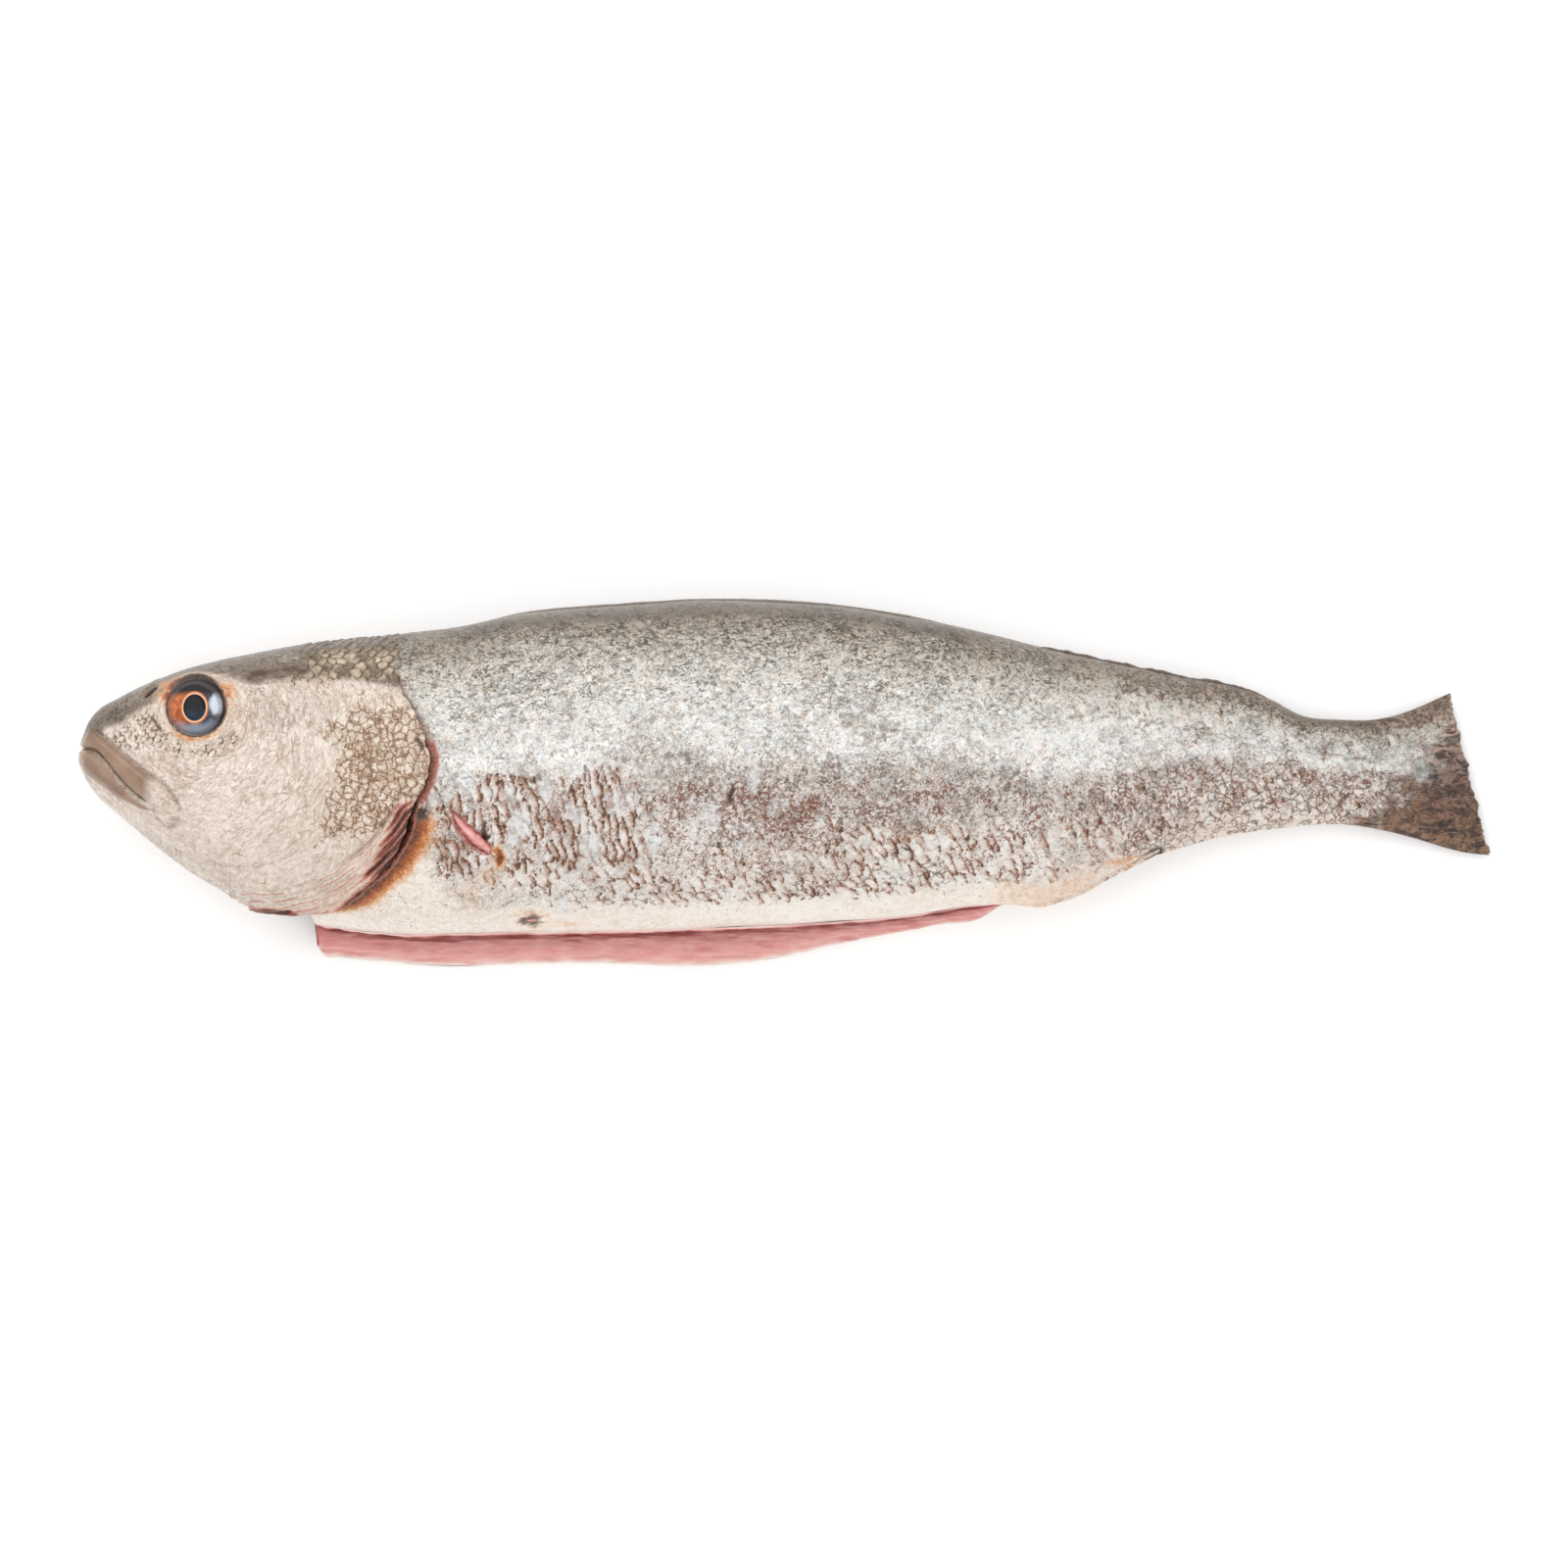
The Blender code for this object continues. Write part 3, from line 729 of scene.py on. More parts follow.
    @staticmethod
    def make_flecks() -> bpy.types.NodeTree:
        """Small ragged flecks that gather in clusters."""
        graph, given, result = new_effect(
            "Flecks",
            {"Size": ("Float", 1.0), "Stretch": ("Vector", (1.0, 1.0, 1.0)),
             "Amount": ("Float", 0.0)},
            {"Fleck": "Float"},
        )
        millimetres = graph.vector("SCALE", graph.place(), 1 / MILLIMETRE)
        place = graph.vector("MULTIPLY", millimetres, given.outputs["Stretch"])
        place = graph.vector("SCALE", place, graph.maths("DIVIDE", 1.0, given.outputs["Size"]))
        cluster = graph.noise(millimetres, 0.11, 2.0, 0.6).outputs["Fac"]
        fine = graph.noise(place, 0.7, 3.0, 0.62, 0.8).outputs["Fac"]
        needed = graph.maths("MULTIPLY", given.outputs["Amount"], 0.25)
        needed = graph.maths("ADD", needed, graph.maths("MULTIPLY", cluster, 0.5))
        needed = graph.maths("SUBTRACT", 1.04, needed)
        graph.feed(result.inputs["Fleck"],
                   graph.span(fine, needed, graph.maths("ADD", needed, 0.05)))
        return graph.tree

    @staticmethod
    def make_stains() -> bpy.types.NodeTree:
        """Orange-brown stains, blood and near-black marks over a colour, with soft ragged edges."""
        graph, given, result = new_effect(
            "Stains and blood",
            {"Colour": ("Color", None), "Stain": ("Float", 0.0), "Blood": ("Float", 0.0),
             "Mark": ("Float", 0.0)},
            {"Colour": "Color"},
        )
        place = graph.vector("SCALE", graph.place(), 1 / MILLIMETRE)
        ragged = graph.noise(place, 1.1, 4.0, 0.70).outputs["Fac"]
        ragged = graph.maths("MULTIPLY", graph.maths("SUBTRACT", ragged, 0.5), 0.75)
        colour = given.outputs["Colour"]
        for label, stops in (
            ("Stain", ((0.0, tint(232, 206, 176)), (0.30, tint(218, 150, 88)),
                       (0.55, tint(166, 88, 34)), (0.80, tint(66, 34, 18)),
                       (1.0, tint(18, 10, 8)))),
            ("Blood", ((0.0, tint(224, 188, 176)), (0.35, tint(190, 122, 104)),
                       (0.65, tint(116, 52, 36)), (1.0, tint(24, 9, 6)))),
            ("Mark", ((0.0, tint(140, 116, 96)), (0.5, tint(78, 56, 42)),
                      (1.0, tint(22, 16, 14)))),
        ):
            amount = given.outputs[label]
            swing = graph.maths("MULTIPLY", ragged, graph.span(amount, 0.0, 0.4))
            amount = graph.maths("ADD", amount, swing)
            colour = graph.blend(graph.span(amount, 0.02, 0.45), colour, graph.ramp(amount, stops))
        graph.feed(result.inputs["Colour"], colour)
        return graph.tree


def new_material(name: str) -> tuple[bpy.types.Material, Graph, bpy.types.Node]:
    """A material, its graph and its Principled BSDF."""
    made = bpy.data.materials.new(name)
    made.use_nodes = True
    return made, Graph(made.node_tree), made.node_tree.nodes["Principled BSDF"]


def settle(shader: bpy.types.Node, **values: float) -> None:
    """Sets the shader's own sockets, named with underscores for spaces."""
    for name, value in values.items():
        shader.inputs[name.replace("_", " ")].default_value = value


@dataclass(frozen=True)
class SkinFinish:
    """Wet silver skin with its scales scraped off.

    light and dark are the crinkles' two tones, from the belly at 0 to the back line at 1;
    fin_light and fin_dark are those of the trimmed tail.
    """

    name: str
    light: Stops
    dark: Stops
    fin_light: Stops
    fin_dark: Stops
    stroke: Colour = tint(64, 34, 15)
    glow: Colour = tint(170, 110, 66)
    halo: Colour = tint(160, 118, 90)
    line: Colour = tint(86, 58, 44)
    fleck: Colour = tint(118, 62, 36)
    dash: Colour = tint(66, 58, 44)
    bare: Colour = tint(208, 211, 212)
    white: Colour = tint(240, 236, 230)
    crinkle_mm: float = 0.95

    def material(self, effects: Effects) -> bpy.types.Material:
        """Builds the finish from the masks share, streak, rim, net, pale, crack, even, relief, bare,
        cream, smooth, speck, stain, blood, mark and fin."""
        made, graph, shader = new_material(self.name)
        place = graph.place()
        millimetres = graph.vector("SCALE", place, 1 / MILLIMETRE)
        fine = graph.use(effects.crinkle, Place=place, Size=self.crinkle_mm)
        long = graph.use(effects.crinkle, Place=graph.vector("MULTIPLY", place, (0.75, 1.0, 1.0)),
                         Size=0.85 * self.crinkle_mm)
        crackle = graph.use(effects.crackle, Place=place, Size=2.8, Strength=graph.mask("crack"))
        ray = graph.noise(graph.vector("MULTIPLY", millimetres, (0.5, 1.0, 1.0)), 0.40, 3.0, 0.60,
                          1.2)
        ray = ray.outputs["Fac"]
        streak = graph.mask("streak")
        tone, crest, crease, height = (
            graph.maths("ADD",
                        graph.maths("MULTIPLY", fine.outputs[label],
                                    graph.maths("SUBTRACT", 1.0, streak)),
                        graph.maths("MULTIPLY", long.outputs[label], streak))
            for label in ("Tone", "Crest", "Crease", "Height")
        )
        cloud = graph.noise(millimetres, 0.055, 3.0, 0.6).outputs["Fac"]
        cloud = graph.maths("SUBTRACT", cloud, 0.5)
        share = graph.maths("ADD", graph.mask("share"), graph.maths("MULTIPLY", cloud, 0.16))
        relief, bare = graph.mask("relief"), graph.mask("bare")
        cream, smooth = graph.mask("cream"), graph.mask("smooth")
        calmed = graph.maths("SUBTRACT", 1.0, graph.mask("even"))
        tone = graph.maths("ADD", 0.5, graph.maths("MULTIPLY", graph.maths(
            "SUBTRACT", tone, 0.5), calmed))
        crest, crease = (graph.maths("MULTIPLY", line, calmed) for line in (crest, crease))
        cell = graph.maths("SUBTRACT", crackle.outputs["Cell"], 0.5)
        lightness = graph.maths("MULTIPLY_ADD", tone, 0.44)
        graph.feed(lightness.node.inputs[2], 0.45)
        lightness = graph.maths("ADD", lightness, graph.maths("MULTIPLY", cell, 0.24))
        # Painted highlight on the crinkles' crests and painted shade in their creases.
        lightness = graph.maths("ADD", lightness, graph.maths("MULTIPLY", crest, 0.22))
        lightness = graph.maths("SUBTRACT", lightness, graph.maths("MULTIPLY", crease, 0.70))
        # Painted shade and light: the relief mask darkens hollows and lightens ridges, and adds the
        # flank's painted shade and light bands.
        lightness = graph.maths("ADD", lightness, graph.maths("MULTIPLY", relief, 0.34))
        lightness = graph.maths("ADD", lightness, graph.maths("MULTIPLY", cloud, 0.9))
        lightness = graph.span(lightness, 0.0, 0.92)
        colour = graph.blend(lightness, graph.ramp(share, self.dark), graph.ramp(share, self.light))
        hue = graph.noise(millimetres, 0.28, 3.0, 0.6).outputs["Fac"]
        hue = graph.ramp(hue, ((0.33, tint(232, 240, 246)), (0.5, tint(255, 255, 255)),
                               (0.67, tint(255, 243, 234))))
        colour = graph.blend(0.6, colour, hue, "MULTIPLY")
        net = graph.mask("net")
        pale = graph.maths("MULTIPLY", graph.mask("pale"), graph.span(tone, 0.0, 0.6, 0.5, 0.95))
        colour = graph.blend(pale, colour, self.white)
        ground = graph.blend(lightness, tint(176, 176, 176), tint(226, 228, 228))
        colour = graph.blend(graph.maths("MULTIPLY", bare, 0.72), colour, ground)
        ground = graph.blend(lightness, tint(222, 204, 188), tint(243, 234, 223))
        colour = graph.blend(graph.maths("MULTIPLY", cream, 0.9), colour, ground)
        ground = graph.blend(lightness, tint(58, 46, 36), tint(112, 99, 85))
        colour = graph.blend(graph.maths("MULTIPLY", smooth, 0.85), colour, ground)
        fin_share = graph.mask("share")
        streaky = graph.maths("ADD", graph.maths("MULTIPLY", lightness, 0.45),
                              graph.span(ray, 0.38, 0.62, -0.35, 0.75))
        streaky = graph.maths("ADD", streaky, graph.maths("MULTIPLY", cell, 0.30))
        streaky = graph.span(streaky, 0.0, 1.0)
        grey = graph.blend(streaky, graph.ramp(fin_share, self.fin_dark),
                           graph.ramp(fin_share, self.fin_light))
        colour = graph.blend(graph.mask("fin"), colour, grey)
        rim_mm = graph.maths("DIVIDE", graph.mask("rim"), MILLIMETRE)
        clear = graph.maths("SUBTRACT", 1.0, graph.maths("MULTIPLY", bare, 0.75))
        drawn = graph.use(effects.strokes, Rim=rim_mm, Strength=net, Width=0.92)
        glow = graph.maths("MULTIPLY", drawn.outputs["Glow"], clear)
        stroke = graph.maths("MULTIPLY", drawn.outputs["Stroke"], clear)
        below = graph.maths("MULTIPLY", graph.span(share, 0.45, 0.62, 0.92, 0.15),
                            graph.maths("SUBTRACT", 1.0, graph.mask("fin")))
        colour = graph.blend(graph.maths("MULTIPLY", glow, below), colour, self.glow)
        crack = graph.maths("MULTIPLY", crackle.outputs["Line"], clear)
        halo = graph.maths("MULTIPLY", crackle.outputs["Halo"], clear)
        colour = graph.blend(graph.maths("MULTIPLY", halo, 0.26), colour, self.halo)
        colour = graph.blend(graph.maths("MULTIPLY", crack, 0.85), colour, self.line)
        fleck = graph.use(effects.flecks, Size=0.8, Amount=graph.mask("speck"))
        fleck = graph.maths("MULTIPLY", fleck.outputs["Fleck"], clear)
        colour = graph.blend(graph.maths("MULTIPLY", fleck, 0.85), colour, self.fleck)
        colour = graph.blend(graph.maths("MULTIPLY", stroke, 0.97), colour, self.stroke)
        dash = graph.use(effects.flecks, Size=0.8, Stretch=(0.6, 1.0, 1.0),
                         Amount=graph.span(share, 0.66, 0.94, 0.0, 0.95))
        dash = graph.maths("MULTIPLY", dash.outputs["Fleck"],
                           graph.maths("SUBTRACT", 1.0, smooth))
        colour = graph.blend(graph.maths("MULTIPLY", dash, 0.7), colour, self.dash)
        stained = graph.use(effects.stains, Colour=colour, Stain=graph.mask("stain"),
                            Blood=graph.mask("blood"), Mark=graph.mask("mark"))
        graph.feed(shader.inputs["Base Color"], stained.outputs["Colour"])
        rough = graph.maths("ADD", graph.maths("MULTIPLY", crease, 0.12), 0.34)
        graph.feed(shader.inputs["Roughness"], rough)
        bump = graph.put("ShaderNodeBump")
        settle(bump, Strength=1.0, Distance=0.00022)
        calm = graph.maths("MAXIMUM", graph.maths("MULTIPLY", bare, 0.6),
                           graph.maths("MULTIPLY", graph.maths("MAXIMUM", cream, smooth), 0.75))
        height = graph.maths("MULTIPLY", height, graph.maths("SUBTRACT", 1.0, calm))
        height = graph.maths("SUBTRACT", height, graph.maths("MULTIPLY", stroke, 0.5))
        height = graph.maths("SUBTRACT", height, graph.maths("MULTIPLY", crack, 0.4))
        graph.feed(bump.inputs["Height"], height)
        graph.feed(shader.inputs["Normal"], bump.outputs["Normal"])
        settle(shader, Coat_Weight=0.22, Coat_Roughness=0.16, Specular_IOR_Level=0.45)
        return made


@dataclass(frozen=True)
class FleshFinish:
    """Raw pink flesh with lengthwise folds, with painted shade darkening it towards the hollow, and
    pale at the rim.
    """

    name: str = "raw belly flesh"

    def material(self, effects: Effects) -> bpy.types.Material:
        """Builds the finish from the masks depth and fold."""
        made, graph, shader = new_material(self.name)
        place = graph.place()
        fibres = graph.vector("MULTIPLY", place, (180.0, 900.0, 900.0))
        fibre = graph.noise(fibres, 1.0, 3.0, 0.6, 0.4).outputs["Fac"]
        cloud = graph.noise(place, 130.0, 2.0, 0.6).outputs["Fac"]
        swing = graph.maths("MULTIPLY", graph.maths("SUBTRACT", cloud, 0.5), 0.45)
        depth = graph.maths("ADD", graph.mask("depth"), swing)
        # The ramp runs from the pale rim to near black at 1, which the belly flesh uses as painted
        # shade deep in the hollow.
        colour = graph.ramp(depth, (
            (0.00, tint(240, 216, 206)), (0.12, tint(232, 184, 176)), (0.32, tint(226, 156, 150)),
            (0.55, tint(214, 132, 126)), (0.78, tint(190, 92, 88)), (0.92, tint(128, 42, 40)),
            (1.00, tint(60, 16, 16))))
        streaks = graph.span(fibre, 0.40, 0.75)
        colour = graph.blend(graph.maths("MULTIPLY", streaks, 0.30), colour, tint(242, 206, 198))
        fold = graph.mask("fold")
        colour = graph.blend(graph.maths("MULTIPLY", fold, 0.45), colour, tint(188, 92, 92))
        graph.feed(shader.inputs["Base Color"], colour)
        bump = graph.put("ShaderNodeBump")
        settle(bump, Strength=1.0, Distance=0.00025)
        graph.feed(bump.inputs["Height"], graph.maths("ADD", fibre, cloud))
        graph.feed(shader.inputs["Normal"], bump.outputs["Normal"])
        settle(shader, Roughness=0.30, Coat_Weight=0.45, Coat_Roughness=0.12,
               Subsurface_Weight=0.15, Subsurface_Scale=0.003)
        return made


@dataclass(frozen=True)
class EyeFinish:
    """A fish eye: a blue-black pupil in a bright ring, an orange and grey iris, with painted
    reflections and the painted shadow of the upper lid.
    """

    name: str = "wet fish eye"
    pupil: tuple[float, float] = (3.6, 4.25)

    def material(self, effects: Effects) -> bpy.types.Material:
        """Builds the finish from the masks iris_x and iris_y, in millimetres from the pupil."""
        made, graph, shader = new_material(self.name)
        x, y = graph.mask("iris_x"), graph.mask("iris_y")
        wide = graph.maths("DIVIDE", x, self.pupil[0])
        tall = graph.maths("DIVIDE", y, self.pupil[1])
        ring = graph.maths("SQRT", graph.maths("ADD", graph.maths("POWER", wide, 2.0),
                                               graph.maths("POWER", tall, 2.0)))
        out = graph.maths("SQRT", graph.maths("ADD", graph.maths("POWER", x, 2.0),
                                              graph.maths("POWER", y, 2.0)))
        place = graph.vector("SCALE", graph.place(), 1 / MILLIMETRE)
        cloud = graph.noise(place, 0.35, 3.0, 0.6, 0.8).outputs["Fac"]
        swing = graph.maths("SUBTRACT", cloud, 0.5)
        orange = graph.blend(graph.span(cloud, 0.35, 0.65), tint(150, 74, 40), tint(208, 120, 66))
        iris = graph.blend(graph.span(cloud, 0.3, 0.7), tint(40, 38, 46), tint(78, 80, 94))
        leftwards = graph.maths("ADD", graph.maths("MULTIPLY", x, -1.0),
                                graph.maths("MULTIPLY", y, 0.25))
        iris = graph.blend(graph.span(leftwards, -1.0, 3.0), iris, orange)
        # Painted shadow of the upper lid: the iris is near black at its top.
        upwards = graph.maths("ADD", y, graph.maths("MULTIPLY", swing, 3.0))
        iris = graph.blend(graph.span(upwards, 3.2, 5.6), iris, tint(24, 18, 20))
        # Painted reflection: a pale blue-grey haze over the iris's lower part.
        reflection_haze = graph.maths("ADD", graph.maths("MULTIPLY", y, -1.0),
                           graph.maths("MULTIPLY", swing, 5.0))
        iris = graph.blend(graph.span(reflection_haze, 2.8, 6.6, 0.0, 0.72), iris, tint(150, 158, 172))
        # Painted reflection: a pale blue-white patch right of the pupil.
        reflection_x, reflection_y = graph.maths("SUBTRACT", x, 6.9), graph.maths("SUBTRACT", y, 1.0)
        white = graph.maths("SQRT", graph.maths(
            "ADD", graph.maths("POWER", graph.maths("DIVIDE", reflection_x, 2.3), 2.0),
            graph.maths("POWER", graph.maths("DIVIDE", reflection_y, 3.6), 2.0)))
        white = graph.maths("ADD", white, graph.maths("MULTIPLY", swing, 0.9))
        iris = graph.blend(graph.span(white, 0.55, 1.25, 0.92, 0.0), iris, tint(214, 222, 232))
        halo = graph.maths("ADD", out, graph.maths("MULTIPLY", swing, 1.2))
        iris = graph.blend(graph.span(halo, 6.9, 8.0, 0.0, 0.50), iris, tint(96, 88, 92))
        # Painted shade: darkest at the rim, where the eye sinks into its socket.
        iris = graph.blend(graph.span(out, 8.3, 9.3, 0.0, 0.9), iris, tint(40, 30, 28))
        edge = graph.span(ring, 1.16, 1.30, 1.0, 0.0)
        iris = graph.blend(edge, iris, tint(196, 112, 66))
        bright = graph.span(ring, 1.08, 1.17, 1.0, 0.0)
        iris = graph.blend(bright, iris, tint(246, 190, 150))
        # Painted reflection: the pupil turns from blue-black to blue-grey towards its bottom.
        pupil = graph.blend(graph.span(reflection_haze, -1.0, 4.0), tint(10, 14, 20), tint(34, 50, 62))
        colour = graph.blend(graph.span(ring, 0.97, 1.05, 1.0, 0.0), iris, pupil)
        graph.feed(shader.inputs["Base Color"], colour)
        settle(shader, Roughness=0.22, Coat_Weight=0.25, Coat_Roughness=0.04,
               Specular_IOR_Level=0.1)
        return made


@dataclass
class Trunk:
    """Everything behind the gill covers: the skin of both flanks down to the trimmed tail."""

    front: float = 0.150         # the first column's station, under the gill cover
    columns: int = 900
    left_rows: int = 220
    right_rows: int = 84
    left_parts: int = 3
    cover_depth: float = 0.0026  # how deep the skin lies under the gill cover's edge
    throat_depth: float = 0.0100
    nape_dip: float = 0.0005

    PECTORAL: Path = ((0.2660, -0.0181), (0.2708, -0.0264), (0.2778, -0.0347), (0.2854, -0.0417),
                      (0.2938, -0.0486))
    LOW_STAINS: tuple[Spot, ...] = (
        (0.3200, -0.0960, 0.0140, 0.0085, 0.34), (0.3450, -0.0990, 0.0180, 0.0050, 0.24),
        (0.7420, -0.0560, 0.0180, 0.0050, 0.36),
    )
    LOW_MARKS: tuple[Spot, ...] = (
        (0.3205, -0.0968, 0.0090, 0.0040, 0.62), (0.7000, -0.0830, 0.0090, 0.0030, 0.40),
        (0.7660, -0.0490, 0.0130, 0.0030, 0.80),
    )
    CHEST: Path = ((0.1500, -0.0950), (0.1850, -0.0850), (0.2100, -0.0680), (0.2300, -0.0460),
                   (0.2420, -0.0480), (0.2560, -0.0560), (0.2640, -0.0700), (0.2800, -0.0830),
                   (0.2950, -0.0920), (0.3200, -0.1040), (0.2400, -0.1120), (0.1500, -0.1120))
    LATERAL: Path = ((0.2560, 0.0430), (0.3400, 0.0470), (0.4400, 0.0490), (0.5160, 0.0460),
                     (0.5670, 0.0389), (0.6400, 0.0400), (0.6900, 0.0468), (0.7400, 0.0470),
                     (0.8200, 0.0330), (0.9000, 0.0190), (0.9600, 0.0130))
    BARE: tuple[tuple[float, float, float, float], ...] = (
        (0.2780, 0.0000, 0.0070, 0.0070), (0.3070, -0.0080, 0.0055, 0.0100),
        (0.3130, -0.0300, 0.0080, 0.0200), (0.3340, -0.0060, 0.0060, 0.0100),
        (0.3560, -0.0230, 0.0055, 0.0090), (0.3640, -0.0440, 0.0100, 0.0150),
        (0.3840, -0.0110, 0.0070, 0.0130), (0.4090, -0.0380, 0.0070, 0.0120),
        (0.4480, -0.0240, 0.0080, 0.0120), (0.3430, -0.0880, 0.0060, 0.0130),
        (0.3000, -0.0560, 0.0060, 0.0080), (0.4780, 0.0020, 0.0050, 0.0100),
    )

    def grid(self) -> tuple[Sheet, Array, Array, Array]:
        """The bare form: rows from the right belly edge over the back to the left belly edge.

        Returns:
            The sheet, each point's station, its turn, and its side as 1 or -1.
        """
        left = Section.even_turns(0.42, Side.LEFT, self.left_rows)
        right = Section.even_turns(0.42, Side.RIGHT, self.right_rows)
        turns = np.concatenate([right[:0:-1], left])
        on_left = np.arange(len(turns)) >= self.right_rows - 1
        stations = np.linspace(self.front, TAIL_SHARE, self.columns)
        turn, station = np.meshgrid(turns, stations, indexing="ij")
        edge = Section.head_edge(turns)[:, None]
        section = Section(station, 1)
        share = turn / math.pi
        opening = eased(share, 0.24, 0.36)
        throat = eased(share, 0.80, 0.97)
        behind = station - edge
        covered = 1 - eased(behind, -0.004, 0.0095)
        lift = -self.nape_dip * (1 - eased(behind, -0.006, 0.002)) * (1 - opening)
        lift = lift - self.cover_depth * covered * opening * (1 - throat)
        lift = lift - self.throat_depth * throat * (1 - eased(station, 0.1560, 0.1675))
        flanks = {side: section.flank(turn, side, lift) for side in Side}
        side = np.where(on_left, 1, -1)[:, None] * np.ones_like(station)
        y, z = (np.where(side > 0, flanks[Side.LEFT][axis], flanks[Side.RIGHT][axis])
                for axis in (0, 1))
        x = Section.place_x(station, y)
        sheet = Sheet(np.stack([x, y, z], axis=-1), {})
        return sheet, station, turn, side

    def dressed(self) -> Sheet:
        """The form with its relief, and the masks that its finish reads."""
        sheet, station, turn, side = self.grid()
        points = sheet.points
        x, y = points[..., 0], points[..., 1]
        section = Section(station, 1)
        belly = np.where(side > 0, section.left_belly, section.right_belly)
        share = (y - belly) / (section.back - belly)
        steps = np.linalg.norm(np.diff(points, axis=0), axis=2)
        run = np.concatenate([np.zeros((1, self.columns)), np.cumsum(steps, axis=0)])
        around = np.abs(run - run[self.right_rows - 1])
        along = LENGTH * station
        u, v = along / MILLIMETRE, around / MILLIMETRE
        v_seed = v + 200 * (side < 0)

        low = share + 0.09 * Grain(11).layered(u / 22, v_seed / 22, 3)
        rear = eased(station, 0.64, 0.76)
        long_zone = between(station, 0.247, 0.400, 0.022) * between(low, 0.17, 0.50, 0.05)
        fine_net = between(station, 0.300, 0.640, 0.03) * between(low, 0.035, 0.17, 0.03)
        diamond_zone = between(station, 0.545, 0.700, 0.04) * between(low, 0.03, 0.30, 0.05)
        middle = between(station, 0.40, 0.60, 0.05) * between(low, 0.06, 0.46, 0.06)
        tail_zone = rear * (1 - 0.6 * between(low, 0.42, 0.70, 0.06))
        net = np.clip(long_zone + 0.76 * diamond_zone + 0.42 * middle + 0.60 * fine_net
                      + 0.62 * tail_zone, 0, 1)
        net = net * eased(share, 0.02, 0.09)
        upper = eased(low, 0.55, 0.75) * (1 - rear)
        net = np.clip(net + 0.22 * upper, 0, 1)

        bend = 1.5 * Grain(21).layered(u / 6, v_seed / 6, 2) * MILLIMETRE
        bend_v = 2.0 * Grain(22).layered(u / 6, v_seed / 6, 2) * MILLIMETRE
        longs = ScaleLattice(2.5 * MILLIMETRE, 7.4 * MILLIMETRE, 0.80, 0.30, 3)
        tiles = ScaleLattice(4.2 * MILLIMETRE, 5.0 * MILLIMETRE, 0.80, 0.26, 5)
        shift_u, shift_v = along + bend, around + bend_v
        laid_long = longs.laid(shift_u - 0.22 * shift_v, shift_v)
        laid_tile = tiles.laid(shift_u - 0.55 * shift_v, shift_v)
        use_long = (long_zone > 0.35).astype(float)
        tilt, rim, tone, arc = (use_long * long + (1 - use_long) * tile
                                for long, tile in zip(laid_long, laid_tile))
        whim = (tone * 7.31) % 1.0
        drawn = (1 - eased(arc, 0.50, 0.85)) * (0.45 + 0.55 * eased(whim, 0.15, 0.6))
        broken = 0.62 + 0.38 * eased(Grain(97).layered(u / 5, v_seed / 6, 3), -0.30, 0.08)
        net_drawn = np.clip(net * (0.25 + 0.85 * drawn) * broken, 0, 1)
        pale = np.clip(net, 0, 1) * eased(tone, 0.15, 0.70) * eased(rim, 0.0002, 0.0010)
        pale = pale * (1 - 0.6 * between(station, 0.43, 0.55, 0.03)) * (low < 0.6)
        pale = np.maximum(pale, 0.40 * fine_net)

        crack = 0.74 * rear * (1 - 0.45 * between(low, 0.50, 0.85, 0.05))
        crack = np.maximum(crack, 0.60 * fine_net)
        crack = np.maximum(crack, 0.22 + (0.30 + 0.12 * eased(low, 0.24, 0.34)) * middle - 0.1 * between(low, 0.5, 0.75, 0.05))
        crack = crack * (1 - 0.8 * long_zone)
        even = np.clip(0.6 * rear + fine_net + long_zone + diamond_zone, 0, 1) * 0.45
        streak = eased(share, 0.52, 0.74) * (1 - 0.5 * rear)
        crinkle = Grain(31).ridges(u / (1.9 + 1.4 * streak), v_seed / 1.7)
        fine = Grain(33).ridges(u / (1.1 + 0.8 * streak), v_seed / 1.0)
        relief = 0.6 * crinkle + 0.4 * fine - 0.62

        bare = np.zeros_like(x)
        level = y / LENGTH
        at = (x - NOSE_X) / LENGTH
        ragged = 0.80 * Grain(41).layered(u / 2.4, v_seed / 2.4, 4, 0.6)
        torn = 0.70 * Grain(47).layered(u / 4.0, v_seed / 3.0, 2, 0.5)
        warp_x, warp_y = (0.0024 * Grain(seed).layered(u / 6, v_seed / 6, 2)
                          + 0.0016 * Grain(seed + 2).layered(u / 1.9, v_seed / 1.9, 2)
                          for seed in (45, 46))
        x, y = x + warp_x, y + warp_y
        for centre, height_at, half_length, half_height in self.BARE:
            far = np.hypot((at - centre) / half_length, (level - height_at) / half_height)
            bare = np.maximum(bare, 1 - eased(far + 0.6 * ragged, 0.35, 1.30))
        spots = Grain(43).layered(u / 8 + 5, v_seed / 12, 3)
        bare = np.maximum(bare, eased(spots, 0.22, 0.55) * np.clip(long_zone + middle, 0, 1))
        cream = eased(Patch(self.CHEST).depth(x, y) + 0.006 * ragged, -0.002, 0.006)
        x, y = points[..., 0] + 0.3 * warp_x, points[..., 1] + 0.3 * warp_y
        strip = (1 - eased(share + 0.05 * ragged, 0.045, 0.105)) * (1 - rear)
        cream = np.maximum(cream, strip)
        net_drawn = net_drawn * (1 - 0.85 * cream)
        crack = crack * (1 - 0.9 * cream)

